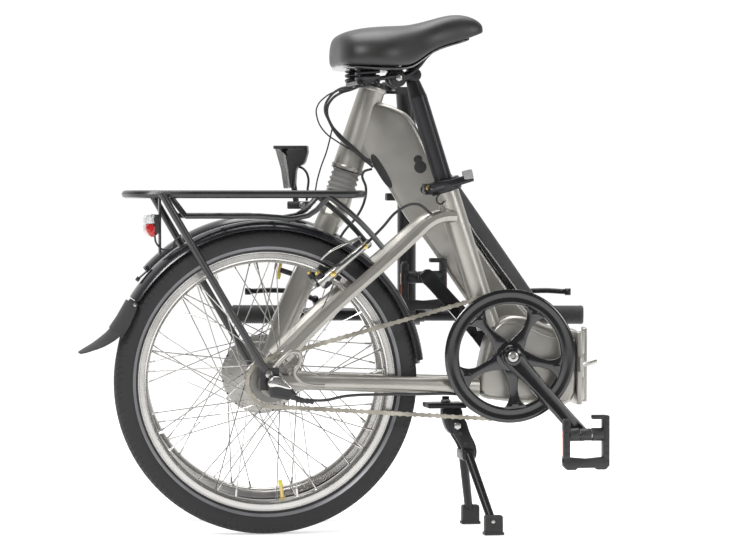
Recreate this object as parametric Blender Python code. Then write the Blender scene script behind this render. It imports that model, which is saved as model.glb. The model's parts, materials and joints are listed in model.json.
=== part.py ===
"""Folding bicycle with a small motor in the front hub, folded and standing on its two-legged stand.

Metres, +Z up, +X is the rear half's riding direction, +Y its left side. The front half and the
handlepost are modelled where they are when the bicycle is ridden, and hang on empties that fold them.
"""

import math

import bmesh
import bpy
from mathutils import Matrix, Vector

# Driving dimensions
TYRE_R = 0.250
TYRE_HALF_WIDTH = 0.0235
RIM_OUTER_R = 0.212
RIM_INNER_R = 0.195
WHEELBASE = 1.080
BOTTOM_BRACKET = Vector((0.398, 0, 0.290))
TUBE_TILT = math.radians(17.5)  # seat tube and steering axis, back from upright
HINGE_X = 0.540
HINGE_Y = 0.052
FRAME_FOLD = math.radians(167.5)
CRANK_LENGTH = 0.170
CRANK_ANGLE = math.radians(-48)  # the right crank, from straight ahead
CHAIN_PITCH = 0.0127
CHAINRING_TEETH = 52
SPROCKET_TEETH = 19
CHAIN_Y = -0.045
BAR_HALF_LENGTH = 0.302
POST_LENGTH = 0.392
STEM_HINGE_OFFSET = 0.027  # back and to the right of the steering axis
GAP = 0.0003
WHEEL_STEPS = 36
SPOKE_TIP_R = 0.1938
FRAME_CENTRE = Vector((0.1379, 0.1147, 0))  # middle of the folded outline on the ground

REAR_AXLE = Vector((0, 0, TYRE_R))
FRONT_AXLE = Vector((WHEELBASE, 0, TYRE_R))
CHAINRING_R = CHAIN_PITCH * CHAINRING_TEETH / math.tau
SPROCKET_R = CHAIN_PITCH * SPROCKET_TEETH / math.tau
CHAIN_HALF_DEPTH = 0.004

UP_THE_TUBE = Vector((-math.sin(TUBE_TILT), 0, math.cos(TUBE_TILT)))
AHEAD = Vector((math.cos(TUBE_TILT), 0, math.sin(TUBE_TILT)))  # square to the steering axis
LEVER_NORMAL = (AHEAD * 0.91 + UP_THE_TUBE * 0.42).normalized()
SEAT_TUBE_TOP = Vector((0.2975, 0, 0.5740))
SEAT_TUBE_LENGTH = 0.250
SEAT_TUBE_R = 0.020
SEATPOST_R = 0.0152
STANCHION_R = 0.0118
SUSPENSION_TRAVEL = 0.025
HEAD_TUBE_TOP = Vector((0.8900, 0, 0.7365))
HEAD_TUBE_LENGTH = 0.146
STEM_FOOT = HEAD_TUBE_TOP + UP_THE_TUBE * 0.012
CROWN_TOP = -HEAD_TUBE_LENGTH - 0.0376
STANCHION_TOP = -HEAD_TUBE_LENGTH + 0.0005

# Finishes: colour, roughness, metallic
CHAMPAGNE = ("champagne_paint", (0.46, 0.44, 0.40), 0.38, 0.75)
BLACK_PAINT = ("black_paint", (0.018, 0.018, 0.019), 0.35, 0.0)
BLACK_ALLOY = ("black_alloy", (0.030, 0.030, 0.032), 0.38, 0.6)
BLACK_PLASTIC = ("black_plastic", (0.022, 0.022, 0.023), 0.50, 0.0)
GREY_PLASTIC = ("grey_plastic", (0.085, 0.085, 0.090), 0.45, 0.0)
RUBBER = ("rubber", (0.025, 0.025, 0.025), 0.80, 0.0)
TYRE_RUBBER = ("tyre_rubber", (0.030, 0.030, 0.030), 0.85, 0.0)
SILVER = ("silver", (0.72, 0.72, 0.72), 0.25, 1.0)
CHAIN_STEEL = ("chain_steel", (0.50, 0.44, 0.33), 0.35, 1.0)
LAMP_RED = ("lamp_red", (0.45, 0.02, 0.02), 0.15, 0.0)
SADDLE_SKIN = ("saddle_skin", (0.045, 0.045, 0.046), 0.45, 0.0)


# Making solids

def clear_scene():
    for obj in list(bpy.data.objects):
        bpy.data.objects.remove(obj, do_unlink=True)


def finish_material(finish):
    name, colour, roughness, metallic = finish
    material = bpy.data.materials.get(name)
    if material is None:
        material = bpy.data.materials.new(name)
        material.use_nodes = True
        shader = material.node_tree.nodes["Principled BSDF"]
        shader.inputs["Base Color"].default_value = (*colour, 1)
        shader.inputs["Roughness"].default_value = roughness
        shader.inputs["Metallic"].default_value = metallic
    return material


def object_of(name, shape):
    mesh = bpy.data.meshes.new(name)
    shape.to_mesh(mesh)
    obj = bpy.data.objects.new(name, mesh)
    bpy.context.collection.objects.link(obj)
    return obj


def evaluated_mesh(obj):
    bpy.context.view_layer.update()
    graph = bpy.context.evaluated_depsgraph_get()
    return bpy.data.meshes.new_from_object(obj.evaluated_get(graph))


def fuse(name, finish, shapes, cuts=()):
    """One object: the union of the shapes, less the cuts."""
    body = object_of(name, shapes[0])
    tools = []
    for operation, pieces in (("UNION", shapes[1:]), ("DIFFERENCE", cuts)):
        for piece in pieces:
            tool = object_of(name + "_tool", piece)
            modifier = body.modifiers.new(operation.lower(), "BOOLEAN")
            modifier.operation = operation
            modifier.object = tool
            tools.append(tool)
    body.data = evaluated_mesh(body)
    body.modifiers.clear()
    for tool in tools:
        bpy.data.objects.remove(tool, do_unlink=True)
    body.data.name = name
    body.data.materials.clear()
    body.data.materials.append(finish_material(finish))
    body.data.shade_smooth()
    body.data.set_sharp_from_angle(angle=math.radians(35))
    return body


def frame_along(start, end):
    """The matrix that puts +Z along start to end, centred between them."""
    start, end = Vector(start), Vector(end)
    turn = (end - start).to_track_quat("Z", "Y").to_matrix().to_4x4()
    return Matrix.Translation((start + end) / 2) @ turn


def rod(start, end, radius, end_radius=None, sides=12):
    shape = bmesh.new()
    bmesh.ops.create_cone(
        shape,
        cap_ends=True,
        segments=sides,
        radius1=radius,
        radius2=radius if end_radius is None else end_radius,
        depth=(Vector(end) - Vector(start)).length,
        matrix=frame_along(start, end),
    )
    return shape


def rods(ends, radius, sides):
    """Several separate rods in one shape."""
    shape = bmesh.new()
    for start, end in ends:
        bmesh.ops.create_cone(
            shape,
            cap_ends=True,
            segments=sides,
            radius1=radius,
            radius2=radius,
            depth=(end - start).length,
            matrix=frame_along(start, end),
        )
    return shape


def block(low, high, bevel=0.0, turn=None):
    """A box between two corners, turned about its middle, with its edges bevelled."""
    low, high = Vector(low), Vector(high)
    shape = bmesh.new()
    bmesh.ops.create_cube(shape, size=1)
    bmesh.ops.scale(shape, vec=high - low, verts=shape.verts)
    if bevel:
        bmesh.ops.bevel(
            shape, geom=shape.edges[:], offset=bevel, segments=1, affect="EDGES", profile=0.5, material=-1
        )
    place = Matrix.Translation((low + high) / 2)
    if turn is not None:
        place = place @ turn
    bmesh.ops.transform(shape, matrix=place, verts=shape.verts)
    return shape


def slab(outline, y_low, y_high, bevel=0.0, segments=1):
    """An outline of (x, z) points, as thick as y_low to y_high, with its rim bevelled."""
    shape = bmesh.new()
    face = shape.faces.new([shape.verts.new((x, y_low, z)) for x, z in outline])
    pushed = bmesh.ops.extrude_face_region(shape, geom=[face])
    far_rim = [item for item in pushed["geom"] if isinstance(item, bmesh.types.BMVert)]
    bmesh.ops.translate(shape, vec=(0, y_high - y_low, 0), verts=far_rim)
    bmesh.ops.recalc_face_normals(shape, faces=shape.faces)
    if bevel:
        rim = [e for e in shape.edges if abs(e.verts[0].co.y - e.verts[1].co.y) < 1e-6]
        bmesh.ops.bevel(
            shape, geom=rim, offset=bevel, segments=segments, affect="EDGES", profile=0.5, material=-1
        )
    return shape


def turned(profile, centre, steps, axis=(0, 1, 0)):
    """A ring: a closed profile of (radius, along) points turned about an axis through the centre."""
    shape = bmesh.new()
    points = [shape.verts.new((0, along, -radius)) for radius, along in profile]
    edges = [shape.edges.new((points[i - 1], points[i])) for i in range(len(points))]
    bmesh.ops.spin(
        shape, geom=points + edges, cent=(0, 0, 0), axis=(0, 1, 0), angle=math.tau, steps=steps, use_merge=True
    )
    bmesh.ops.remove_doubles(shape, verts=shape.verts, dist=1e-6)
    bmesh.ops.recalc_face_normals(shape, faces=shape.faces)
    turn = Vector((0, 1, 0)).rotation_difference(Vector(axis)).to_matrix().to_4x4()
    bmesh.ops.transform(shape, matrix=Matrix.Translation(centre) @ turn, verts=shape.verts)
    return shape


def bent_tube(points, radius, bends=4, resolution=2, cyclic=False):
    """A round tube through the points, smooth at each bend."""
    curve = bpy.data.curves.new("route", "CURVE")
    curve.dimensions = "3D"
    curve.bevel_depth = radius
    curve.bevel_resolution = resolution
    curve.resolution_u = bends
    curve.use_fill_caps = not cyclic
    spline = curve.splines.new("BEZIER")
    spline.bezier_points.add(len(points) - 1)
    spline.use_cyclic_u = cyclic
    for bezier, point in zip(spline.bezier_points, points):
        bezier.co = point
        bezier.handle_left_type = "AUTO"
        bezier.handle_right_type = "AUTO"
    holder = bpy.data.objects.new("route", curve)
    bpy.context.collection.objects.link(holder)
    mesh = evaluated_mesh(holder)
    shape = bmesh.new()
    shape.from_mesh(mesh)
    bpy.data.objects.remove(holder, do_unlink=True)
    bmesh.ops.remove_doubles(shape, verts=shape.verts, dist=1e-6)
    bmesh.ops.recalc_face_normals(shape, faces=shape.faces)
    return shape


def loft(rings):
    """A closed skin over rings of points that all have the same number of points."""
    shape = bmesh.new()
    loops = []
    for ring in rings:
        points = [shape.verts.new(point) for point in ring]
        loops.append([shape.edges.new((points[i - 1], points[i])) for i in range(len(points))])
    for first, second in zip(loops, loops[1:]):
        bmesh.ops.bridge_loops(shape, edges=first + second)
    bmesh.ops.holes_fill(shape, edges=shape.edges, sides=0)
    bmesh.ops.recalc_face_normals(shape, faces=shape.faces)
    return shape


def oval(centre, across, half_a, half_b, up=(0, 0, 1), sides=12):
    """A ring of points: half_a along the across direction and half_b along up."""
    centre, across, up = Vector(centre), Vector(across), Vector(up)
    turns = [math.tau * i / sides for i in range(sides)]
    return [centre + across * (half_a * math.cos(a)) + up * (half_b * math.sin(a)) for a in turns]


def mirrored(shape):
    """The shape's other-side copy, across the middle plane."""
    copy = shape.copy()
    bmesh.ops.scale(copy, vec=(1, -1, 1), verts=copy.verts)
    bmesh.ops.reverse_faces(copy, faces=copy.faces)
    return copy


def moved(shape, matrix):
    bmesh.ops.transform(shape, matrix=matrix, verts=shape.verts)
    return shape


# Carriers: empties that pieces hang on

HOME = {}


def carrier(name, home, parent=None, turn=None):
    """An empty at a joint. Home is its place when the bicycle is ridden; turn is how far it has folded."""
    empty = bpy.data.objects.new(name, None)
    bpy.context.collection.objects.link(empty)
    empty.empty_display_size = 0.03
    home = Vector(home)
    if parent is None:
        empty.location = home - FRAME_CENTRE
    else:
        empty.parent = parent
        empty.location = home - HOME[parent.name]
    if turn is not None:
        empty.rotation_mode = "QUATERNION"
        empty.rotation_quaternion = turn.to_quaternion()
    HOME[name] = home
    return empty


def hang(obj, parent):
    """Hang a finished piece on its carrier, with its own origin on the carrier's joint."""
    obj.data.transform(Matrix.Translation(-HOME[parent.name]))
    obj.parent = parent
    return obj


def on_axle(radius, angle, y, axle):
    return axle + Vector((radius * math.cos(angle), y, radius * math.sin(angle)))


# Wheels

def tyre(name, axle):
    profile = [(0.2135, 0.0110), (0.2190, 0.0200), (0.2280, TYRE_HALF_WIDTH), (0.2400, 0.0200), (TYRE_R, 0.0070)]
    profile += [(radius, -along) for radius, along in reversed(profile)]
    return fuse(name, TYRE_RUBBER, [turned(profile, axle, WHEEL_STEPS)])


def rim(name, axle):
    half = [(RIM_INNER_R, 0.0070), (0.2000, 0.0125), (RIM_OUTER_R, 0.0125)]
    profile = half + [(radius, -along) for radius, along in reversed(half)]
    return fuse(name, SILVER, [turned(profile, axle, WHEEL_STEPS)])


def spokes(axle, flange_r, flange_y):
    """Thirty-six crossed spokes, nine leading and nine trailing on each side."""
    ends = []
    for side in (1, -1):
        for i in range(9):
            middle = math.tau * (i + (0.25 if side < 0 else 0)) / 9
            for lean in (1, -1):
                hub_angle = middle + lean * 1.05
                rim_angle = middle - lean * math.tau / 72
                inner = on_axle(flange_r, hub_angle, side * (flange_y + lean * 0.0024), axle)
                outer = on_axle(SPOKE_TIP_R, rim_angle, side * 0.0035, axle)
                ends.append((inner, outer))
    return rods(ends, 0.0012, 3)


def hub(name, axle, body_r, flange_r, half_width):
    half = [(0.0056, half_width), (body_r * 0.55, half_width), (body_r * 0.8, 0.0330), (flange_r, 0.0300)]
    half += [(flange_r, 0.0240), (body_r, 0.0200)]
    profile = half + [(radius, -along) for radius, along in reversed(half)]
    ring = turned(profile, axle, 18)
    return fuse(name, SILVER, [ring, spokes(axle, flange_r - 0.004, 0.0270)])


def axle_rod(name, axle, half_length, inner):
    """The fixed axle, with a nut outside each dropout."""
    shapes = [rod(axle + Vector((0, -half_length, 0)), axle + Vector((0, half_length, 0)), 0.005)]
    for side in (1, -1):
        near, far = side * inner, side * (inner + 0.008)
        shapes.append(rod(axle + Vector((0, near, 0)), axle + Vector((0, far, 0)), 0.0095, sides=6))
    return fuse(name, SILVER, shapes)


def mudguard(name, axle, radius, first, last):
    """A thin curved guard over a tyre between two angles from straight ahead."""
    half = [(0.0280, -0.0130), (0.0250, -0.0055), (0.0150, -0.0010), (0.0, 0.0)]
    outer = half + [(-y, rise) for y, rise in reversed(half[:-1])]
    inner = [(y * 0.93, rise - 0.0020) for y, rise in reversed(outer)]
    shape = bmesh.new()
    ring = [
        shape.verts.new(on_axle(radius + rise, first, y, axle)) for y, rise in outer + inner
    ]
    face = shape.faces.new(ring)
    bmesh.ops.spin(
        shape, geom=[face], cent=axle, axis=(0, -1, 0), angle=last - first, steps=18, use_merge=False
    )
    bmesh.ops.recalc_face_normals(shape, faces=shape.faces)
    return fuse(name, BLACK_PLASTIC, [shape])


# Rear half of the frame

def tube_point(up):
    """A point on the seat tube's axis, up from its top."""
    return SEAT_TUBE_TOP + UP_THE_TUBE * up


def seat_tube():
    tube = rod(tube_point(-SEAT_TUBE_LENGTH), tube_point(0), SEAT_TUBE_R, sides=20)
    bore = rod(tube_point(0.012 - SEAT_TUBE_LENGTH), tube_point(0.01), SEATPOST_R + GAP, sides=20)
    return fuse("seat_tube", CHAMPAGNE, [tube], [bore])


def seat_clamp():
    collar = rod(tube_point(-0.014), tube_point(0.004), 0.0260, sides=20)
    lug_middle = tube_point(-0.005) + Vector((-0.026, 0, -0.006))
    lug = block(lug_middle - Vector((0.010, 0.013, 0.008)), lug_middle + Vector((0.008, 0.013, 0.008)))
    skewer = rod(lug_middle + Vector((-0.004, -0.024, 0)), lug_middle + Vector((-0.004, 0.024, 0)), 0.004)
    nut = rod(lug_middle + Vector((-0.004, 0.015, 0)), lug_middle + Vector((-0.004, 0.024, 0)), 0.008)
    bore = rod(tube_point(-0.03), tube_point(-0.0003 + GAP), SEAT_TUBE_R + GAP, sides=20)
    post_bore = rod(tube_point(-0.03), tube_point(0.03), SEATPOST_R + GAP, sides=20)
    return fuse("seat_clamp", BLACK_ALLOY, [collar, lug, skewer, nut], [bore, post_bore])


CLAMP_LEVER_PIVOT = tube_point(-0.005) + Vector((-0.030, -0.0285, -0.006))


def seat_clamp_lever():
    """The quick-release lever, closed along the tube's right side with its tip forward."""
    boss = rod(CLAMP_LEVER_PIVOT - Vector((0, 0, 0.007)), CLAMP_LEVER_PIVOT + Vector((0, 0, 0.007)), 0.003)
    steps = [(0, 0, 0), (0.020, -0.006, 0.004), (0.045, -0.008, 0.011), (0.070, -0.003, 0.018)]
    arm = bent_tube([CLAMP_LEVER_PIVOT + Vector(step) for step in steps], 0.004)
    return fuse("seat_clamp_lever", SILVER, [boss, arm])


def bottom_bracket_shell():
    half = [(0.0175, 0.035), (0.0225, 0.035)]
    profile = half + [(radius, -along) for radius, along in reversed(half)]
    return fuse("bottom_bracket_shell", CHAMPAGNE, [turned(profile, BOTTOM_BRACKET, 24)])


PLATE_FRONT = 0.5257
KNUCKLES = {"rear": ((0.2480, 0.2870),), "front": ((0.2100, 0.2477), (0.2873, 0.3250))}


def knuckle(side, low, high):
    """One barrel of the frame hinge with the lug that holds it."""
    barrel = rod((HINGE_X, HINGE_Y, low), (HINGE_X, HINGE_Y, high), 0.008)
    if side == "rear":
        outline = [(0.5170, 0.020), (PLATE_FRONT, 0.020), (PLATE_FRONT, 0.0300), (0.5380, 0.0450)]
        lug = slab_up(outline + [(0.5350, 0.0560), (0.5170, 0.0400)], low, high)
    else:
        lug = slab_up([(0.5262, 0.020), (0.5350, 0.020), (0.5440, 0.0480), (0.5370, 0.0540)], low, high)
    return [barrel, lug]


def slab_up(outline, z_low, z_high):
    """An outline of (x, y) points between two heights."""
    shape = slab(outline, -z_high, -z_low)
    swap = Matrix(((1, 0, 0, 0), (0, 0, 1, 0), (0, -1, 0, 0), (0, 0, 0, 1)))
    return moved(shape, swap)


def frame_casting():
    """The casting from the seat tube's foot and the bottom bracket to the hinge's rear plate."""
    outline = [(0.366, 0.3190), (0.378, 0.3330), (0.402, 0.3400), (0.425, 0.3480), (0.470, 0.3350)]
    outline += [(0.517, 0.3250), (0.517, 0.2090), (0.460, 0.2080), (0.400, 0.2130), (0.352, 0.2200)]
    outline += [(0.352, 0.2560)]
    web = slab(outline, -0.025, 0.025, 0.006)
    plate = block((0.5165, -0.029, 0.207), (PLATE_FRONT, 0.029, 0.328), 0.0015)
    shapes = [web, plate]
    for low, high in KNUCKLES["rear"]:
        shapes += knuckle("rear", low, high)
    shell = rod(BOTTOM_BRACKET - Vector((0, 0.06, 0)), BOTTOM_BRACKET + Vector((0, 0.06, 0)), 0.0228, sides=24)
    foot = rod(tube_point(-SEAT_TUBE_LENGTH - GAP), tube_point(0), 0.032, sides=20)
    return fuse("frame_casting", CHAMPAGNE, shapes, [shell, foot])


def chainstay(name, side):
    """An oval tube from the dropout, past the tyre, to the casting, with its dropout plate."""
    stations = [
        ((0.018, 0.0610, 0.2515), 0.0060, 0.0110),
        ((0.060, 0.0580, 0.2505), 0.0100, 0.0120),
        ((0.130, 0.0520, 0.2480), 0.0105, 0.0130),
        ((0.250, 0.0380, 0.2430), 0.0110, 0.0140),
        ((0.315, 0.0290, 0.2400), 0.0115, 0.0155),
        ((0.3515, 0.0190, 0.2380), 0.0120, 0.0160),
    ]
    tube = loft([oval(place, (0, 1, 0), wide, deep) for place, wide, deep in stations])
    plate = rod(REAR_AXLE + Vector((0, 0.0590, 0)), REAR_AXLE + Vector((0, 0.0650, 0)), 0.022, sides=16)
    hole = rod(REAR_AXLE + Vector((0, 0.05, 0)), REAR_AXLE + Vector((0, 0.08, 0)), 0.005 + GAP)
    shapes = [tube, plate]
    if side < 0:
        shapes = [mirrored(shape) for shape in shapes]
        hole = mirrored(hole)
    return fuse(name, CHAMPAGNE, shapes, [hole])


SEATSTAY_ROUTE = [
    (0.3120, 0.0170, 0.5200),
    (0.2900, 0.0220, 0.5190),
    (0.2660, 0.0300, 0.5100),
    (0.2450, 0.0370, 0.4930),
    (0.2130, 0.0430, 0.4650),
    (0.1810, 0.0480, 0.4374),
    (0.0950, 0.0560, 0.3640),
    (0.0200, 0.0620, 0.2900),
]


def seatstay(name, side):
    stay = bent_tube(SEATSTAY_ROUTE, 0.0105, bends=3)
    tube = rod(tube_point(-0.2), tube_point(0.1), SEAT_TUBE_R + GAP, sides=20)
    dropout = rod(REAR_AXLE + Vector((0, -0.1, 0)), REAR_AXLE + Vector((0, 0.1, 0)), 0.022 + GAP, sides=16)
    chainstay_top = block((-0.05, 0, 0.2), (0.1, 0.1, 0.2640))
    if side < 0:
        stay = mirrored(stay)
        chainstay_top = mirrored(chainstay_top)
    return fuse(name, CHAMPAGNE, [stay], [tube, dropout, chainstay_top])


# Rack, lights, guards and stand

RACK_Z = 0.5560


def rack_platform():
    loop = [(0.1460, 0.040), (0.097, 0.055), (-0.05, 0.060), (-0.185, 0.060), (-0.2210, 0.035)]
    loop += [(x, -y) for x, y in reversed(loop)]
    shapes = [bent_tube([(x, y, RACK_Z) for x, y in loop], 0.0065, bends=3, cyclic=True)]
    for x in (0.125, 0.020, -0.080, -0.175):
        shapes.append(rod((x, -0.056, RACK_Z), (x, 0.056, RACK_Z), 0.0042, sides=8))
    shapes.append(block((-0.2250, -0.024, RACK_Z - 0.003), (0.1480, 0.024, RACK_Z + 0.003)))
    for side in (1, -1):
        rail = [(-0.140, 0.060, 0.5210), (-0.02, 0.060, 0.5210), (0.060, 0.059, 0.5215), (0.098, 0.0550, RACK_Z)]
        shapes.append(bent_tube([(x, side * y, z) for x, y, z in rail], 0.0045, bends=3))
        strut = [(0.090, 0.0560, RACK_Z), (0.128, 0.0600, 0.5270), (0.158, 0.0605, 0.4980), (0.1835, 0.0605, 0.4680)]
        shapes.append(bent_tube([(x, side * y, z) for x, y, z in strut], 0.0045, bends=3))
        shapes.append(rod((-0.140, side * 0.0600, 0.5210), (-0.1665, side * 0.0600, RACK_Z), 0.0045, sides=8))
    shapes.append(block((-0.1765, -0.0070, 0.4580), (-0.1730, 0.0070, RACK_Z)))
    return fuse("rack_platform", BLACK_PAINT, shapes)


def rack_stay(name, side):
    """The long leg from the rack's tail down to the rear axle."""
    top = Vector((-0.1800, side * 0.0752, RACK_Z + 0.002))
    foot = Vector((-0.0120, side * 0.0775, 0.2700))
    leg = rod(top, foot, 0.0060, sides=10)
    ear = block((-0.0210, 0.0735, 0.2395), (0.0100, 0.0775, 0.2760))
    hole = rod((0, 0.06, TYRE_R), (0, 0.09, TYRE_R), 0.0053)
    if side < 0:
        ear = mirrored(ear)
        hole = mirrored(hole)
    return fuse(name, BLACK_PAINT, [leg, ear], [hole])


def rear_light():
    outline = [(-0.1995, 0.4960), (-0.1930, 0.4865), (-0.1825, 0.4870), (-0.1770, 0.4950)]
    outline += [(-0.1770, 0.5230), (-0.1960, 0.5230), (-0.1995, 0.5170)]
    return fuse("rear_light", LAMP_RED, [slab(outline, -0.027, 0.027, 0.003)])


def mudguard_flap():
    """The rubber tail that widens the rear guard behind the tyre."""
    sections = [
        ((-0.2245, 0.3889), (0.848, -0.530), 0.0300, 0.0150),
        ((-0.2440, 0.3560), (0.820, -0.572), 0.0320, 0.0200),
        ((-0.2640, 0.3320), (0.720, -0.694), 0.0320, 0.0180),
        ((-0.2860, 0.3150), (0.600, -0.800), 0.0280, 0.0110),
        ((-0.3090, 0.3010), (0.520, -0.854), 0.0180, 0.0030),
    ]
    rings = []
    for (x, z), (nx, nz), half, drop in sections:
        middle, inward = Vector((x, 0, z)), Vector((nx, 0, nz))
        outer = []
        for across in (1, 0.55, 0, -0.55, -1):
            outer.append(middle + Vector((0, across * half, 0)) + inward * (drop * across * across))
        inner = [point + inward * 0.0030 for point in reversed(outer)]
        rings.append(outer + inner)
    flap = loft(rings)
    return fuse("mudguard_flap", RUBBER, [flap])


def shift_box():
    """The gear cable's bell crank at the right axle nut."""
    outline = [(-0.012, 0.2530), (-0.004, 0.2640), (0.010, 0.2630), (0.024, 0.2500)]
    outline += [(0.036, 0.2330), (0.022, 0.2240), (-0.006, 0.2300)]
    box = slab(outline, -0.0990, -0.0790, 0.004)
    spigot = rod((0.029, -0.087, 0.2290), (0.046, -0.084, 0.2240), 0.0045, 0.0035)
    nut_room = rod((0, -0.07, TYRE_R), (0, -0.0915, TYRE_R), 0.0103)
    return fuse("shift_box", BLACK_PLASTIC, [box, spigot], [nut_room])


def chain():
    """The chain as one closed band round the chainring and the sprocket."""
    ring = BOTTOM_BRACKET
    across = Vector((ring.x - REAR_AXLE.x, 0, ring.z - REAR_AXLE.z))
    lean = math.atan2(across.z, across.x)
    spread = math.acos((CHAINRING_R - SPROCKET_R) / across.length)
    path = []
    wrap = math.pi - spread
    for i in range(21):
        path.append((ring, CHAINRING_R, lean + wrap - 2 * wrap * i / 20))
    for i in range(9):
        path.append((REAR_AXLE, SPROCKET_R, lean - wrap - 2 * spread * i / 8))
    outer, inner = [], []
    for middle, radius, angle in path:
        for ring_points, offset in ((outer, CHAIN_HALF_DEPTH), (inner, -CHAIN_HALF_DEPTH)):
            reach = radius + offset
            ring_points.append((middle.x + reach * math.cos(angle), middle.z + reach * math.sin(angle)))
    low, high = CHAIN_Y - 0.0032, CHAIN_Y + 0.0032
    band = slab(outer, low, high)
    hollow = slab(inner, low - 0.01, high + 0.01)
    return fuse("chain", CHAIN_STEEL, [band], [hollow])


STAND_PIVOT = Vector((0.316, 0, 0.174))


def stand_bracket():
    plate = block((0.266, -0.027, 0.2030), (0.330, 0.027, 0.2120), 0.0015)
    neck = block((0.294, -0.0130, 0.1560), (0.326, 0.0130, 0.2060), 0.003)
    pin = rod(STAND_PIVOT - Vector((0, 0.0180, 0)), STAND_PIVOT + Vector((0, 0.0180, 0)), 0.0045)
    cap = rod((0.300, 0, 0.2100), (0.300, 0, 0.2225), 0.006)
    return fuse("stand_bracket", BLACK_ALLOY, [plate, neck, pin, cap])


def kickstand():
    """Two splayed legs on cheeks that turn about the bracket's pin."""
    shapes = []
    cuts = []
    cheek = [(0.302, 0.184), (0.316, 0.190), (0.330, 0.182), (0.346, 0.132), (0.340, 0.116), (0.322, 0.122)]
    for side in (1, -1):
        inner = 0.0134
        outer = 0.0175
        shapes.append(slab(cheek, min(side * inner, side * outer), max(side * inner, side * outer)))
        knee = Vector((0.3340, side * 0.0220, 0.1260))
        ankle = Vector((0.3575, side * 0.0860, 0.0280))
        shapes.append(rod(knee, ankle, 0.0075, sides=10))
        foot = block((0.346, side * 0.0905 - 0.010, 0.0000), (0.376, side * 0.0905 + 0.010, 0.0330), 0.003)
        shapes.append(foot)
    shapes.append(block((0.3240, -0.0290, 0.1160), (0.3440, 0.0290, 0.1360), 0.003))
    cuts.append(rod(STAND_PIVOT - Vector((0, 0.03, 0)), STAND_PIVOT + Vector((0, 0.03, 0)), 0.0045 + GAP))
    return fuse("kickstand", BLACK_ALLOY, shapes, cuts)


# Seat

def seatpost():
    post = rod(tube_point(-0.233), tube_point(0.150), SEATPOST_R, sides=20)
    neck = rod(tube_point(0.148), tube_point(0.1800), SEATPOST_R, 0.0105, sides=20)
    return fuse("seatpost", BLACK_ALLOY, [post, neck])


def saddle_frame():
    """Clamp, rails and coil springs under the saddle."""
    clamp_at = tube_point(0.1928)
    shapes = [rod(clamp_at - Vector((0, 0.027, 0)), clamp_at + Vector((0, 0.027, 0)), 0.0125, sides=14)]
    for side in (1, -1):
        rail = [(0.345, 0.010, 0.8080), (0.290, 0.020, 0.7740), (0.240, 0.024, 0.7560)]
        rail += [(0.200, 0.030, 0.7480), (0.150, 0.048, 0.7420)]
        shapes.append(bent_tube([(x, side * y, z) for x, y, z in rail], 0.0040, bends=2, resolution=1))
        shapes.append(rod((0.155, side * 0.050, 0.7350), (0.155, side * 0.050, 0.7740), 0.0150, sides=12))
    shapes.append(rod((0.145, -0.052, 0.7400), (0.145, 0.052, 0.7400), 0.0045, sides=8))
    shapes.append(rod((0.338, -0.014, 0.8040), (0.338, 0.014, 0.8040), 0.0045, sides=8))
    return fuse("saddle_frame", BLACK_ALLOY, shapes, [saddle_shape(GAP)])


SADDLE_SECTIONS = (
    (0.1135, 0.0400, 0.7850, 0.8060, 0.7800),
    (0.1230, 0.0800, 0.7640, 0.8190, 0.7620),
    (0.1500, 0.1000, 0.7620, 0.8290, 0.7780),
    (0.1900, 0.0980, 0.7600, 0.8325, 0.7800),
    (0.2300, 0.0760, 0.7630, 0.8340, 0.7820),
    (0.2600, 0.0510, 0.7830, 0.8400, 0.7950),
    (0.2860, 0.0390, 0.7965, 0.8480, 0.8040),
    (0.3160, 0.0310, 0.8045, 0.8520, 0.8110),
    (0.3430, 0.0265, 0.8150, 0.8475, 0.8200),
    (0.3600, 0.0150, 0.8220, 0.8340, 0.8235),
)


def saddle_shape(swell=0.0):
    """The saddle's outer form, from tail to nose: half width, skirt height, crown height, belly height."""
    rings = []
    for x, half, skirt, crown, belly in SADDLE_SECTIONS:
        half += swell
        crown += swell
        belly -= swell
        skirt -= swell
        depth = crown - skirt
        side = [(half * 0.93, skirt), (half, skirt + depth * 0.30), (half * 0.88, skirt + depth * 0.68)]
        side += [(half * 0.55, skirt + depth * 0.93)]
        ring = [(y, z) for y, z in side] + [(0, crown)] + [(-y, z) for y, z in reversed(side)]
        ring += [(-half * 0.45, belly), (half * 0.45, belly)]
        rings.append([(x, y, z) for y, z in ring])
    return loft(rings)


def saddle():
    return fuse("saddle", SADDLE_SKIN, [saddle_shape()])


# Cranks and pedals

def crank_tip(side):
    """The pedal's place on a crank: side is -1 on the right, 1 on the left."""
    reach = -side * CRANK_LENGTH
    return BOTTOM_BRACKET + Vector((reach * math.cos(CRANK_ANGLE), 0, reach * math.sin(CRANK_ANGLE)))


def crank_arm(name, side):
    tip = crank_tip(side)
    along = (tip - BOTTOM_BRACKET).normalized()
    across = Vector((-along.z, 0, along.x))
    stations = ((-0.018, 0.0490, 0.0640, 0.0160), (0.020, 0.0510, 0.0660, 0.0160), (0.080, 0.0560, 0.0690, 0.0125))
    stations += ((0.150, 0.0615, 0.0735, 0.0120), (0.183, 0.0615, 0.0735, 0.0110))
    rings = []
    for reach, inner, outer, half in stations:
        middle = BOTTOM_BRACKET + along * reach
        corners = ((half, inner), (half, outer - 0.003), (half - 0.004, outer), (-half + 0.004, outer))
        corners += ((-half, outer - 0.003), (-half, inner))
        rings.append([middle + across * offset + Vector((0, side * y, 0)) for offset, y in corners])
    arm = loft(rings)
    boss = rod(BOTTOM_BRACKET + Vector((0, side * 0.0605, 0)), BOTTOM_BRACKET + Vector((0, side * 0.0760, 0)), 0.0150)
    socket = rod(BOTTOM_BRACKET, BOTTOM_BRACKET + Vector((0, side * 0.0600, 0)), 0.0088)
    return fuse(name, BLACK_ALLOY, [arm, boss], [socket])


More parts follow.
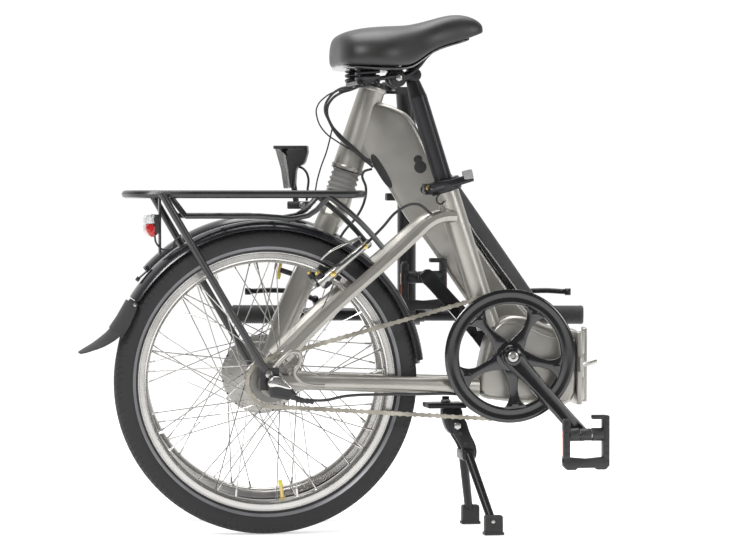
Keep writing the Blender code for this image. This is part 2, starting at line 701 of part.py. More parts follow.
def bottom_bracket_axle():
    reach = Vector((0, 0.0597, 0))
    return fuse("bottom_bracket_axle", SILVER, [rod(BOTTOM_BRACKET - reach, BOTTOM_BRACKET + reach, 0.0085)])


def chainring():
    """The toothed ring, inside the chain's band, with its five inner lugs left to the guard."""
    outer = CHAINRING_R - CHAIN_HALF_DEPTH - 4 * GAP
    half = [(0.0860, 0.0015), (outer, 0.0015)]
    profile = [(radius, CHAIN_Y + along) for radius, along in half]
    profile += [(radius, CHAIN_Y - along) for radius, along in reversed(half)]
    return fuse("chainring", CHAIN_STEEL, [turned(profile, BOTTOM_BRACKET, 36)])


def chain_guard():
    """The black guard ring with five arms that carry the chainring."""
    near, far = -0.0488, -0.0530
    inside, outside = -0.0492, -0.0525
    centre = Vector((BOTTOM_BRACKET.x, 0, BOTTOM_BRACKET.z))
    ring = turned([(0.0860, near), (0.1100, near), (0.1080, far), (0.0880, far)], centre, 36)
    hub_ring = rod(centre + Vector((0, near + 0.0018, 0)), centre + Vector((0, far - 0.0035, 0)), 0.026, sides=20)
    shapes = [ring, hub_ring]
    for i in range(5):
        angle = math.radians(131.5 - 72 * i)
        along = Vector((math.cos(angle), 0, math.sin(angle)))
        across = Vector((-along.z, 0, along.x))
        rings = []
        for reach, half in ((0.015, 0.013), (0.050, 0.009), (0.0900, 0.011)):
            middle = centre + along * reach
            corners = ((half, inside), (half, outside), (-half, outside), (-half, inside))
            rings.append([middle + across * offset + Vector((0, y, 0)) for offset, y in corners])
        shapes.append(loft(rings))
        bolt = centre + along * 0.0900
        shapes.append(rod(bolt + Vector((0, near - 0.001, 0)), bolt + Vector((0, CHAIN_Y - 0.0018, 0)), 0.005, sides=8))
    arm_room = crank_room()
    socket = rod(centre, centre + Vector((0, -0.08, 0)), 0.0088)
    return fuse("chain_guard", BLACK_ALLOY, shapes, [arm_room, socket])


def crank_room():
    """The space that the right crank's inner face takes, kept clear of the guard."""
    tip = crank_tip(-1)
    along = (tip - BOTTOM_BRACKET).normalized()
    across = Vector((-along.z, 0, along.x))
    rings = []
    for reach in (-0.019, 0.120):
        middle = BOTTOM_BRACKET + along * reach
        corners = ((0.0170, -0.0487), (0.0170, -0.0900), (-0.0170, -0.0900), (-0.0170, -0.0487))
        rings.append([middle + across * offset + Vector((0, y, 0)) for offset, y in corners])
    return loft(rings)


def sprocket():
    centre = Vector(REAR_AXLE)
    outer = SPROCKET_R - CHAIN_HALF_DEPTH - 6 * GAP
    profile = [(0.0060, -0.0415), (0.0150, -0.0415), (0.0150, CHAIN_Y + 0.0013), (outer, CHAIN_Y + 0.0013)]
    profile += [(outer, CHAIN_Y - 0.0013), (0.0150, CHAIN_Y - 0.0013), (0.0150, -0.0560), (0.0060, -0.0560)]
    return fuse("rear_sprocket", CHAIN_STEEL, [turned(profile, centre, 18)])


PEDAL_HINGE_Y = 0.1075


def pedal_spindle(name, side):
    """The spindle from the crank to the pedal's folding pin."""
    tip = crank_tip(side)
    start = tip + Vector((0, side * (0.0735 + GAP), 0))
    end = tip + Vector((0, side * (PEDAL_HINGE_Y - 0.004), 0))
    shapes = [rod(start, end, 0.0070)]
    pin_at = tip + Vector((0, side * PEDAL_HINGE_Y, 0))
    shapes.append(rod(pin_at - Vector((0.0300, 0, 0)), pin_at + Vector((0.0300, 0, 0)), 0.0045))
    shapes.append(rod(pin_at - Vector((0.0110, 0, 0)), pin_at + Vector((0.0110, 0, 0)), 0.0085))
    return fuse(name, SILVER, shapes)


def pedal_body(name, side):
    """The platform, an open frame that folds about the pin; modelled flat, as it is ridden."""
    tip = crank_tip(side)
    hinge = Vector((tip.x, side * PEDAL_HINGE_Y, tip.z))
    low, high = -0.0325, 0.0575
    shapes = []
    for x, start in ((-0.0380, low + 0.0080), (0.0250, low)):
        shapes.append(block((x, start, -0.0090), (x + 0.0130, high, 0.0090), 0.0015))
    shapes.append(block((-0.0300, high - 0.0130, -0.0080), (0.0300, high, 0.0080), 0.0015))
    shapes.append(block((0.0095, low, -0.0080), (0.0300, low + 0.0090, 0.0080), 0.0015))
    shapes.append(block((-0.0300, 0.0190, -0.0055), (0.0300, 0.0260, 0.0055)))
    cut = rod((-0.0330, 0, 0), (0.0330, 0, 0), 0.0045 + GAP)
    place = Matrix.Translation(hinge) @ Matrix.Scale(side, 4, (0, 1, 0))
    for shape in shapes + [cut]:
        moved(shape, place)
        if side < 0:
            bmesh.ops.reverse_faces(shape, faces=shape.faces)
    return fuse(name, BLACK_PLASTIC, shapes, [cut])


# Rear brake

BRAKE_PIVOT = Vector((0.0900, 0.0400, 0.4160))
UP_THE_STAY = Vector((0.764, 0, 0.645)).normalized()
OFF_THE_STAY = Vector((-UP_THE_STAY.z, 0, UP_THE_STAY.x))


def brake_arm(name, side):
    """One arm of the rim brake, with its pad, on a stub that stands off the seat stay."""
    def at(up, y, off=0.0):
        point = BRAKE_PIVOT + UP_THE_STAY * up + OFF_THE_STAY * off
        return Vector((point.x, side * y, point.z))

    arm = rod(at(-0.006, 0.0400), at(0.096, 0.0430), 0.0060, 0.0050, sides=8)
    boss = rod(at(0, 0.0400, -0.012), at(0, 0.0400, 0.014), 0.0080, sides=10)
    post = rod(at(0.0170, 0.0440), at(0.0170, 0.0205), 0.0035, sides=8)
    pad = block((-0.0200, -0.0033, -0.0040), (0.0200, 0.0033, 0.0040))
    out = (at(0.0170, 0) - REAR_AXLE).normalized()
    turn = Matrix((
        (out.z, 0, out.x, 0),
        (0, 1, 0, 0),
        (-out.x, 0, out.z, 0),
        (0, 0, 0, 1),
    ))
    moved(pad, Matrix.Translation(at(0.0170, 0.0180)) @ turn)
    if pad.calc_volume(signed=True) < 0:
        bmesh.ops.reverse_faces(pad, faces=pad.faces)
    return fuse(name, BLACK_ALLOY, [arm, boss, post, pad])


# Front half of the frame, as ridden

MAIN_TUBE_TOP = [(0.8800, 0.7110), (0.8580, 0.7055), (0.8230, 0.6870), (0.8060, 0.6550), (0.7780, 0.5900)]
MAIN_TUBE_TOP += [(0.7607, 0.5440)]
MAIN_TUBE_TOP += [(0.6417, 0.3713), (0.6100, 0.3400), (0.5800, 0.3290), (0.5340, 0.3270)]
MAIN_TUBE_UNDER = [(0.5340, 0.2080), (0.5900, 0.2120), (0.6350, 0.2400), (0.7276, 0.3711), (0.8042, 0.4850)]
MAIN_TUBE_UNDER += [(0.8297, 0.5105), (0.8587, 0.5600), (0.8774, 0.5870), (0.8944, 0.5990), (0.9200, 0.6050)]


def main_tube():
    """The deep tube from the head to the hinge, with the hinge's front plate."""
    tube = slab(MAIN_TUBE_TOP + MAIN_TUBE_UNDER, -0.0270, 0.0270, 0.0120, 2)
    plate = block((PLATE_FRONT + GAP, -0.029, 0.205), (0.5350, 0.029, 0.330), 0.0015)
    shapes = [tube, plate]
    for low, high in KNUCKLES["front"]:
        shapes += knuckle("front", low, high)
    bottom = HEAD_TUBE_TOP - UP_THE_TUBE * (HEAD_TUBE_LENGTH + 0.05)
    head = rod(HEAD_TUBE_TOP + UP_THE_TUBE * 0.05, bottom, 0.0225 + GAP, 0.0275 + GAP, sides=24)
    front = block((0.9300, -0.05, 0.55), (1.05, 0.05, 0.66))
    return fuse("main_tube", CHAMPAGNE, shapes, [head, front])


def head_tube():
    bottom = HEAD_TUBE_TOP - UP_THE_TUBE * HEAD_TUBE_LENGTH
    tube = rod(HEAD_TUBE_TOP, bottom, 0.0220, 0.0260, sides=24)
    bore = rod(HEAD_TUBE_TOP + UP_THE_TUBE * 0.01, bottom - UP_THE_TUBE * 0.01, 0.0150, sides=16)
    return fuse("head_tube", CHAMPAGNE, [tube], [bore])


BATTERY_OFF = Vector((-0.823, 0, 0.567)).normalized()


def battery():
    outline = [(0.6412, 0.3717), (0.7602, 0.5444), (0.7773, 0.5904), (0.8052, 0.6555), (0.8160, 0.6770)]
    outline += [(0.6170, 0.3880)]
    return fuse("battery", GREY_PLASTIC, [slab(outline, -0.0250, 0.0250, 0.0025)])


LATCH_PIVOT = Vector((0.5210, -0.0370, 0.2740))


def hinge_latch():
    """The lever that clamps the two hinge plates, hinged on the rear plate's right edge."""
    barrel = rod(LATCH_PIVOT - Vector((0, 0, 0.0120)), LATCH_PIVOT + Vector((0, 0, 0.0120)), 0.0045)
    steps = [(0, 0, 0), (0.012, -0.003, 0.002), (0.026, -0.002, 0.006)]
    arm = bent_tube([LATCH_PIVOT + Vector(step) for step in steps], 0.0038)
    return fuse("hinge_latch", SILVER, [barrel, arm])


# Steering, fork and lamp

def steering(up, forward=0.0, left=0.0):
    """A place in the steering axis's own directions, from the head tube's top."""
    return HEAD_TUBE_TOP + UP_THE_TUBE * up + AHEAD * forward + Vector((0, left, 0))


STEM_PIN = STEM_FOOT - (AHEAD + Vector((0, 1, 0))) * STEM_HINGE_OFFSET
STEM_TURN = Matrix(
    (
        (0, -1, 0),
        (-math.cos(TUBE_TILT), 0, -math.sin(TUBE_TILT)),
        (math.sin(TUBE_TILT), 0, -math.cos(TUBE_TILT)),
    )
)
STEM_AXIS = Vector(
    (math.sin(TUBE_TILT), -math.sin(TUBE_TILT), 1 - math.cos(TUBE_TILT))
).normalized()


def stem_base():
    """The steerer in the head tube, with the handlepost's hinge on top."""
    foot_up = (STEM_FOOT - HEAD_TUBE_TOP).length
    shapes = [rod(steering(0.0005), steering(foot_up - GAP), 0.0200, sides=20)]
    steerer_end = -HEAD_TUBE_LENGTH + 0.004
    shapes.append(rod(steering(steerer_end), steering(0.002), 0.0146, sides=16))
    bore_top = STANCHION_TOP + SUSPENSION_TRAVEL + 0.004
    bore = rod(steering(steerer_end - 0.01), steering(bore_top), STANCHION_R + GAP, sides=12)
    pin_end = STEM_AXIS * 0.0095
    shapes.append(rod(STEM_PIN - pin_end, STEM_PIN + pin_end, 0.0070, sides=10))
    lug = block((-0.0010, -0.0060, -0.0070), (0.0220, 0.0060, 0.0000))
    reach = Vector((math.cos(math.radians(45)), math.sin(math.radians(45)), 0))
    across = Vector((-reach.y, reach.x, 0))
    turn = Matrix((
        (reach.x, across.x, 0, 0),
        (reach.y, across.y, 0, 0),
        (0, 0, 1, 0),
        (0, 0, 0, 1),
    ))
    tilt = Matrix.Rotation(-TUBE_TILT, 4, "Y")
    moved(lug, Matrix.Translation(STEM_PIN - UP_THE_TUBE * 0.0008) @ tilt @ turn)
    shapes.append(lug)
    return fuse("stem_base", BLACK_ALLOY, shapes, [bore])


def bellows():
    """The ribbed boot between the head tube and the fork crown."""
    top, bottom = -HEAD_TUBE_LENGTH - 0.0012, -HEAD_TUBE_LENGTH - 0.0370
    profile = [(0.0155, bottom)]
    for i in range(4):
        low = bottom + (top - bottom) * i / 4
        profile += [(0.0190, low), (0.0230, low + (top - bottom) / 8)]
    profile += [(0.0190, top), (0.0155, top)]
    return fuse("bellows", RUBBER, [turned(profile, HEAD_TUBE_TOP, 20, UP_THE_TUBE)])


def fork():
    """Crown, sliding stanchion, two legs and their axle plates."""
    shapes = [rod(steering(CROWN_TOP), steering(CROWN_TOP - 0.0400), 0.0235, 0.0250, sides=16)]
    shapes.append(rod(steering(CROWN_TOP - 0.002), steering(STANCHION_TOP), STANCHION_R, sides=12))
    crown = [oval(steering(CROWN_TOP - 0.018 - down), (0, 1, 0), wide, deep, up=(0.954, 0, 0.301))
             for down, wide, deep in ((0, 0.030, 0.0220), (0.022, 0.052, 0.0240), (0.040, 0.058, 0.0200))]
    shapes.append(loft(crown))
    cuts = []
    for side in (1, -1):
        stations = [
            (steering(CROWN_TOP - 0.045, 0.002, side * 0.0480), 0.0090, 0.0190),
            (Vector((0.9960, side * 0.0500, 0.4400)), 0.0090, 0.0190),
            (Vector((1.0290, side * 0.0550, 0.3640)), 0.0095, 0.0190),
            (Vector((1.0560, side * 0.0570, 0.2950)), 0.0085, 0.0150),
            (Vector((1.0720, side * 0.0570, 0.2560)), 0.0032, 0.0120),
        ]
        rings = [oval(place, (0, side, 0), wide, deep, up=(0.954, 0, 0.301)) for place, wide, deep in stations]
        shapes.append(loft(rings))
        plate_in = FRONT_AXLE + Vector((0, side * 0.0550, 0))
        plate_out = FRONT_AXLE + Vector((0, side * 0.0610, 0))
        shapes.append(rod(plate_in, plate_out, 0.0150, sides=14))
    cuts.append(rod(FRONT_AXLE - Vector((0, 0.08, 0)), FRONT_AXLE + Vector((0, 0.08, 0)), 0.005 + GAP))
    cuts.append(rod(FRONT_AXLE - Vector((0, 0.032, 0)), FRONT_AXLE + Vector((0, 0.032, 0)), 0.2760, sides=48))
    return fuse("fork", CHAMPAGNE, shapes, cuts)


def headlight():
    """Hooded lamp on a bracket that rises from the fork crown."""
    hood = [(0.9980, 0.6020), (1.0100, 0.6260), (1.0350, 0.6370), (1.0560, 0.6340), (1.0500, 0.6240)]
    hood += [(1.0460, 0.5980)]
    shapes = [slab(hood, -0.0270, 0.0270, 0.004)]
    shapes.append(block((1.0300, -0.0230, 0.5680), (1.0450, 0.0230, 0.6200), 0.002))
    arm = [(0.9930, 0, 0.5350), (1.0150, 0, 0.5400), (1.0230, 0, 0.5600), (1.0240, 0, 0.6100)]
    shapes.append(bent_tube(arm, 0.0050))
    shapes.append(block((0.9950, -0.0120, 0.5310), (1.0360, 0.0120, 0.5440), 0.002))
    return fuse("headlight", BLACK_PLASTIC, shapes)


# Handlepost and bars, as ridden, in the steering axis's directions from the stem's foot

BAR_FORWARD = 0.038


def stem_place(forward, left, up):
    return steering((STEM_FOOT - HEAD_TUBE_TOP).length + up, forward, left)


def handlepost():
    shapes = [rod(stem_place(0, 0, GAP), stem_place(0, 0, 0.0500), 0.0190, 0.0160, sides=16)]
    shapes.append(rod(stem_place(0, 0, 0.048), stem_place(0, 0, POST_LENGTH), 0.0160, sides=16))
    shapes.append(rod(stem_place(0, 0, POST_LENGTH - 0.006), stem_place(BAR_FORWARD - 0.006, 0, POST_LENGTH), 0.0130))
    left, right = stem_place(BAR_FORWARD, 0.022, POST_LENGTH), stem_place(BAR_FORWARD, -0.022, POST_LENGTH)
    shapes.append(rod(left, right, 0.0180, sides=16))
    bar = rod(
        stem_place(BAR_FORWARD, 0.1, POST_LENGTH), stem_place(BAR_FORWARD, -0.1, POST_LENGTH), 0.0127 + GAP, sides=16
    )
    for sign in (1, -1):
        first = STEM_PIN + STEM_AXIS * (sign * 0.0104)
        last = STEM_PIN + STEM_AXIS * (sign * 0.0170)
        shapes.append(rod(first, last, 0.0070, sides=10))
        lug = block((-0.0010, sign * 0.0140 - 0.0030, 0.0010), (0.0240, sign * 0.0140 + 0.0030, 0.0120))
        reach = Vector((1, 1, 0)).normalized()
        across = Vector((1, -1, 0)).normalized()
        turn = Matrix((
            (reach.x, across.x, 0, 0),
            (reach.y, across.y, 0, 0),
            (0, 0, -1, 0),
            (0, 0, 0, 1),
        ))
        flip = Matrix.Scale(-1, 4, (0, 0, 1))
        moved(lug, Matrix.Translation(STEM_PIN) @ Matrix.Rotation(-TUBE_TILT, 4, "Y") @ turn @ flip)
        if lug.calc_volume(signed=True) < 0:
            bmesh.ops.reverse_faces(lug, faces=lug.faces)
        shapes.append(lug)
    return fuse("handlepost", BLACK_PAINT, shapes, [bar])


def handlebar():
    ends = [stem_place(BAR_FORWARD, side * BAR_HALF_LENGTH, POST_LENGTH) for side in (1, -1)]
    return fuse("handlebar", BLACK_ALLOY, [rod(*ends, 0.0110, sides=16), rod(
        stem_place(BAR_FORWARD, 0.03, POST_LENGTH), stem_place(BAR_FORWARD, -0.03, POST_LENGTH), 0.0127, sides=16
    )])


def grip(name, side):
    inner, outer = 0.186, 0.304
    sleeve = rod(
        stem_place(BAR_FORWARD, side * inner, POST_LENGTH), stem_place(BAR_FORWARD, side * outer, POST_LENGTH),
        0.0160, sides=16,
    )
    bore = rod(
        stem_place(BAR_FORWARD, side * (inner - 0.02), POST_LENGTH),
        stem_place(BAR_FORWARD, side * (BAR_HALF_LENGTH + GAP), POST_LENGTH), 0.0110 + GAP, sides=16,
    )
    return fuse(name, RUBBER, [sleeve], [bore])


def lever_pivot(side):
    return stem_place(BAR_FORWARD + 0.016, side * 0.160, POST_LENGTH - 0.024)


def brake_lever(name, side):
    """The blade and its ball end, hinged beside the grip."""
    pivot = lever_pivot(side)
    route = [(0.016, 0.160, -0.024), (0.022, 0.185, -0.036), (0.024, 0.230, -0.041), (0.023, 0.278, -0.039)]
    points = [stem_place(BAR_FORWARD + a, side * b, POST_LENGTH + h) for a, b, h in route]
    ball = rod(points[-1] - Vector((0, 0.005, 0)), points[-1] + Vector((0, 0.005, 0)), 0.0062, sides=10)
    boss = rod(pivot - LEVER_NORMAL * 0.008, pivot + LEVER_NORMAL * 0.008, 0.0060, sides=10)
    return fuse(name, BLACK_ALLOY, [bent_tube(points, 0.0048), ball, boss])


# The whole bicycle

def build_rear(bike):
    pieces = [
        seat_tube(),
        seat_clamp(),
        bottom_bracket_shell(),
        frame_casting(),
        chainstay("chainstay_left", 1),
        chainstay("chainstay_right", -1),
        seatstay("seatstay_left", 1),
        seatstay("seatstay_right", -1),
        axle_rod("rear_axle", REAR_AXLE, 0.0905, 0.0785),
        mudguard("rear_mudguard", REAR_AXLE, 0.264, math.radians(7.5), math.radians(148)),
        mudguard_flap(),
        rack_platform(),
        rack_stay("rack_stay_left", 1),
        rack_stay("rack_stay_right", -1),
        rear_light(),
        chain(),
        shift_box(),
        stand_bracket(),
    ]
    for piece in pieces:
        hang(piece, bike)


def build_rear_moving(bike):
    hang(seat_clamp_lever(), carrier("seat_clamp_hinge", CLAMP_LEVER_PIVOT, bike))
    seat = carrier("seatpost_slide", SEAT_TUBE_TOP, bike)
    for piece in (seatpost(), saddle_frame(), saddle()):
        hang(piece, seat)
    wheel = carrier("rear_wheel_axis", REAR_AXLE, bike)
    for piece in (tyre("rear_tyre", REAR_AXLE), rim("rear_rim", REAR_AXLE)):
        hang(piece, wheel)
    hang(hub("rear_hub", REAR_AXLE, 0.0240, 0.0340, 0.0400), wheel)
    hang(sprocket(), carrier("sprocket_axis", REAR_AXLE, bike))
    cranks = carrier("crank_axis", BOTTOM_BRACKET, bike)
    for piece in (bottom_bracket_axle(), chainring(), chain_guard()):
        hang(piece, cranks)
    for name, side in (("right", -1), ("left", 1)):
        hang(crank_arm("crank_" + name, side), cranks)
        spin = carrier("pedal_axis_" + name, crank_tip(side), cranks)
        hang(pedal_spindle("pedal_spindle_" + name, side), spin)
        pin = crank_tip(side) + Vector((0, side * PEDAL_HINGE_Y, 0))
        fold = carrier("pedal_hinge_" + name, pin, spin, Matrix.Rotation(-side * math.pi / 2, 3, "X"))
        hang(pedal_body("pedal_" + name, side), fold)
        pivot = Vector((BRAKE_PIVOT.x, side * BRAKE_PIVOT.y, BRAKE_PIVOT.z))
        hang(brake_arm("brake_arm_" + name, side), carrier("brake_pivot_" + name, pivot, bike))
    hang(kickstand(), carrier("stand_pivot", STAND_PIVOT, bike))
    hang(hinge_latch(), carrier("latch_pivot", LATCH_PIVOT, bike))


def build_front(bike):
    fold = carrier("frame_hinge", (HINGE_X, HINGE_Y, 0), bike, Matrix.Rotation(FRAME_FOLD, 3, "Z"))
    hang(main_tube(), fold)
    hang(head_tube(), fold)
    hang(battery(), carrier("battery_slide", (0.70, 0, 0.48), fold))
    turning = carrier("steering_axis", HEAD_TUBE_TOP, fold)
    hang(stem_base(), turning)
    hang(bellows(), turning)
    sliding = carrier("suspension_slide", steering(CROWN_TOP), turning)
    for piece in (fork(), headlight()):
        hang(piece, sliding)
    hang(mudguard("front_mudguard", FRONT_AXLE, 0.2720, math.radians(42), math.radians(176)), sliding)
    hang(axle_rod("front_axle", FRONT_AXLE, 0.0710, 0.0613), sliding)
    wheel = carrier("front_wheel_axis", FRONT_AXLE, sliding)
    hang(tyre("front_tyre", FRONT_AXLE), wheel)
    hang(rim("front_rim", FRONT_AXLE), wheel)
    hang(hub("front_hub", FRONT_AXLE, 0.0600, 0.0660, 0.0400), wheel)
    stem = carrier("stem_hinge", STEM_PIN, turning, STEM_TURN)
    hang(handlepost(), stem)
    hang(handlebar(), stem)
    for name, side in (("right", -1), ("left", 1)):
        hang(grip("grip_" + name, side), stem)
        lever = carrier("lever_pivot_" + name, lever_pivot(side), stem)
        hang(brake_lever("brake_lever_" + name, side), lever)


def main():
    clear_scene()
    HOME.clear()
    bike = carrier("bicycle", (0, 0, 0))
    build_rear(bike)
    build_rear_moving(bike)
    build_front(bike)


main()
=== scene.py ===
"""Folding bicycle with a motor in its front hub, folded and standing on its two-legged stand.

Metres. Shapes are made as the bicycle is ridden, with the rear axle over x = 0, and then put in place:
the rear half as it stands, the front half folded back beside it, the handlepost folded down.
"""

import json
import math

import bmesh
import bpy
from mathutils import Matrix, Vector

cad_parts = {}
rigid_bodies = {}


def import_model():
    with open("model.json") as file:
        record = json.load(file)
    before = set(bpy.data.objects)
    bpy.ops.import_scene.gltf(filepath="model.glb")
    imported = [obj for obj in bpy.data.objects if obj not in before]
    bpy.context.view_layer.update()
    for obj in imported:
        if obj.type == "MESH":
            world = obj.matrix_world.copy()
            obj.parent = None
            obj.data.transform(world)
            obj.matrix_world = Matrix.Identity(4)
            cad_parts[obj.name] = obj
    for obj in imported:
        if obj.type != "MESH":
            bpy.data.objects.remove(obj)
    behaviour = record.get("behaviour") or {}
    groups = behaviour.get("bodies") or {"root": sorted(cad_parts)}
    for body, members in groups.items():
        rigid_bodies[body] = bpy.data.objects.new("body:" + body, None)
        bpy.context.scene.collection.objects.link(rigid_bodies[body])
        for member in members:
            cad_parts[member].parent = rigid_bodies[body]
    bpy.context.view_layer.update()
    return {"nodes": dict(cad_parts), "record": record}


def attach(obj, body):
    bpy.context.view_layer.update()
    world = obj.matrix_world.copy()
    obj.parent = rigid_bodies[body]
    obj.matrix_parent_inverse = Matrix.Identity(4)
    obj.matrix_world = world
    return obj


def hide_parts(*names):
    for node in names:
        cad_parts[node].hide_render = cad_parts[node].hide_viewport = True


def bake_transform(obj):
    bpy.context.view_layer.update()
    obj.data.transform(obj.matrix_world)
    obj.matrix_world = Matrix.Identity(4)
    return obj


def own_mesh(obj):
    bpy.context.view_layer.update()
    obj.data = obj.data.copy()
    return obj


for leftover in list(bpy.data.objects):
    bpy.data.objects.remove(leftover)
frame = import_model()

# Driving dimensions, as the solid model has them
MIDDLE = Vector((0.1379, 0.1147, 0))
TILT = math.radians(17.5)
UP = Vector((-math.sin(TILT), 0, math.cos(TILT)))
AHEAD = Vector((math.cos(TILT), 0, math.sin(TILT)))
TYRE_R = 0.25
REAR_AXLE = Vector((0, 0, TYRE_R))
FRONT_AXLE = Vector((1.08, 0, TYRE_R))
BOTTOM_BRACKET = Vector((0.398, 0, 0.29))
SEAT_TUBE_TOP = Vector((0.2975, 0, 0.574))
HEAD_TOP = Vector((0.89, 0, 0.7365))
HEAD_LENGTH = 0.146
STEM_FOOT = HEAD_TOP + UP * 0.012
STEM_PIN = STEM_FOOT - (AHEAD + Vector((0, 1, 0))) * 0.027
POST_LENGTH = 0.392
BAR_FORWARD = 0.038
POST_CLAMP = (0.119, 0.1043, 0.5515)
CHAIN_PITCH = 0.0127
CHAINRING_R = CHAIN_PITCH * 52 / math.tau
SPROCKET_R = CHAIN_PITCH * 19 / math.tau
CHAIN_Y = -0.045
CRANK_LENGTH = 0.17
CRANK_ANGLE = math.radians(-48)
PEDAL_HINGE_Y = 0.1075
FRAME_HINGE = Vector((0.54, 0.052, 0))
FOLD_ANGLE = math.radians(167.5)
BRAKE_PIVOT = Vector((0.09, 0, 0.416))
BRAKE_RISE = Vector((0.764, 0, 0.645)).normalized()
BRAKE_OUT = Vector((-BRAKE_RISE.z, 0, BRAKE_RISE.x))

REAR = Matrix.Translation(-MIDDLE)
FRONT = REAR @ Matrix.Translation(FRAME_HINGE) @ Matrix.Rotation(FOLD_ANGLE, 4, "Z")
FRONT = FRONT @ Matrix.Translation(-FRAME_HINGE)
STEM_TURN = Matrix(((0, -1, 0), (-AHEAD.x, 0, -AHEAD.z), (AHEAD.z, 0, -AHEAD.x))).to_4x4()
STEM = FRONT @ Matrix.Translation(STEM_PIN) @ STEM_TURN @ Matrix.Translation(-STEM_PIN)
AS_BUILT = Matrix.Identity(4)
PLACES = dict.fromkeys(("front_frame", "battery_pack", "steerer", "fork_group", "front_wheel"), FRONT)
PLACES["stem"] = STEM
# Lays an (x, z) outline down in (x, y)
LAID_FLAT = Matrix(((1, 0, 0, 0), (0, 0, 1, 0), (0, 1, 0, 0), (0, 0, 0, 1)))


# Finishes

def set_inputs(node, **values):
    """Set a node's inputs by their names, as coat_weight=0.5 for Coat Weight."""
    for name, value in values.items():
        node.inputs[name.replace("_", " ").title()].default_value = value
    return node


def add_node(tree, kind, **values):
    return set_inputs(tree.nodes.new("ShaderNode" + kind), **values)


def new_surface(name):
    """A new material, its nodes, its shader and the piece's own coordinates."""
    material = bpy.data.materials.new(name)
    material.use_nodes = True
    tree = material.node_tree
    return material, tree, tree.nodes["Principled BSDF"], add_node(tree, "TexCoord").outputs["Object"]


def add_relief(tree, height, shader, strength, depth):
    relief = add_node(tree, "Bump", strength=strength, distance=depth)
    tree.links.new(height, relief.inputs["Height"])
    tree.links.new(relief.outputs["Normal"], shader.inputs["Normal"])


def finish(name, colour, roughness, metallic=0.0, grain=900, bump=0.05, mottle=0.1, rough_spread=0.1,
           coat=0.0, coat_roughness=0.15, sheen=0.0, wear=0.0):
    """A surface with a fine grain, slow changes of tone and shine, and an optional worn tint."""
    material, tree, shader, place = new_surface(name)
    link = tree.links.new
    set_inputs(shader, metallic=metallic, coat_weight=coat, coat_roughness=coat_roughness, sheen_weight=sheen)
    slow = add_node(tree, "TexNoise", scale=28, detail=5)
    fine = add_node(tree, "TexNoise", scale=grain, detail=3)
    link(place, slow.inputs["Vector"])
    link(place, fine.inputs["Vector"])
    tone = add_node(tree, "ValToRGB")
    dark, light = tone.color_ramp.elements
    dark.position, light.position = 0.3, 0.7
    dark.color = (*[c * (1 - mottle) for c in colour], 1)
    light.color = (*[c * (1 + mottle) for c in colour], 1)
    link(slow.outputs["Fac"], tone.inputs["Fac"])
    base = tone.outputs["Color"]
    if wear:
        worn = add_node(tree, "Mix")
        worn.data_type = "RGBA"
        worn.inputs["B"].default_value = (*[min(c * 2.2 + 0.05, 1) for c in colour], 1)
        edge = add_node(tree, "MapRange", from_min=0.58, from_max=0.75, to_max=wear)
        link(fine.outputs["Fac"], edge.inputs["Value"])
        link(edge.outputs["Result"], worn.inputs["Factor"])
        link(base, worn.inputs["A"])
        base = worn.outputs["Result"]
    link(base, shader.inputs["Base Color"])
    low, high = max(roughness - rough_spread, 0.02), roughness + rough_spread
    shine = add_node(tree, "MapRange", to_min=low, to_max=high)
    link(slow.outputs["Fac"], shine.inputs["Value"])
    link(shine.outputs["Result"], shader.inputs["Roughness"])
    add_relief(tree, fine.outputs["Fac"], shader, bump, 0.0006)
    return material


def clear_plastic(name, colour, transmission, roughness=0.08):
    """Moulded lamp plastic with shallow prisms."""
    material, tree, shader, place = new_surface(name)
    set_inputs(shader, transmission_weight=transmission, roughness=roughness, coat_weight=0.5)
    shader.inputs["IOR"].default_value = 1.49
    prisms = add_node(tree, "TexVoronoi", scale=260)
    tree.links.new(place, prisms.inputs["Vector"])
    tone = add_node(tree, "ValToRGB")
    dark, light = tone.color_ramp.elements
    dark.color = (*[c * 0.75 for c in colour], 1)
    light.color = (*colour, 1)
    tree.links.new(prisms.outputs["Distance"], tone.inputs["Fac"])
    tree.links.new(tone.outputs["Color"], shader.inputs["Base Color"])
    add_relief(tree, prisms.outputs["Distance"], shader, 0.35, 0.0008)
    return material


CHAMPAGNE = finish("champagne_paint", (0.345, 0.333, 0.305), 0.36, 0.8, grain=2600, bump=0.1, mottle=0.05,
                   rough_spread=0.05, coat=0.35, coat_roughness=0.3)
BLACK_PAINT = finish("black_paint", (0.012, 0.012, 0.013), 0.32, 0.0, grain=1500, bump=0.06, mottle=0.2,
                     coat=0.2)
BLACK_ALLOY = finish("black_alloy", (0.016, 0.016, 0.018), 0.34, 0.5, grain=2200, bump=0.1, wear=0.1)
GLOSS_BLACK = finish("gloss_black", (0.008, 0.008, 0.009), 0.14, 0.0, grain=700, bump=0.02, rough_spread=0.06,
                     coat=0.5, coat_roughness=0.08)
BLACK_PLASTIC = finish("black_plastic", (0.014, 0.014, 0.015), 0.46, grain=1800, bump=0.22, mottle=0.2)
GREY_PLASTIC = finish("grey_plastic", (0.055, 0.055, 0.058), 0.42, grain=1800, bump=0.18)
GUARD_PLASTIC = finish("guard_plastic", (0.013, 0.013, 0.016), 0.22, grain=500, bump=0.03, coat=0.35)
LEVER_GREY = finish("lever_grey", (0.22, 0.22, 0.22), 0.4, grain=1600, bump=0.08)
RUBBER = finish("rubber", (0.018, 0.018, 0.018), 0.72, grain=1300, bump=0.3, sheen=0.15)
TYRE_RUBBER = finish("tyre_rubber", (0.012, 0.012, 0.013), 0.7, grain=1100, bump=0.35, mottle=0.25,
                     sheen=0.05, wear=0.12)
STRIPE = finish("reflective_stripe", (0.17, 0.17, 0.18), 0.35, 0.2, grain=1600, bump=0.05)
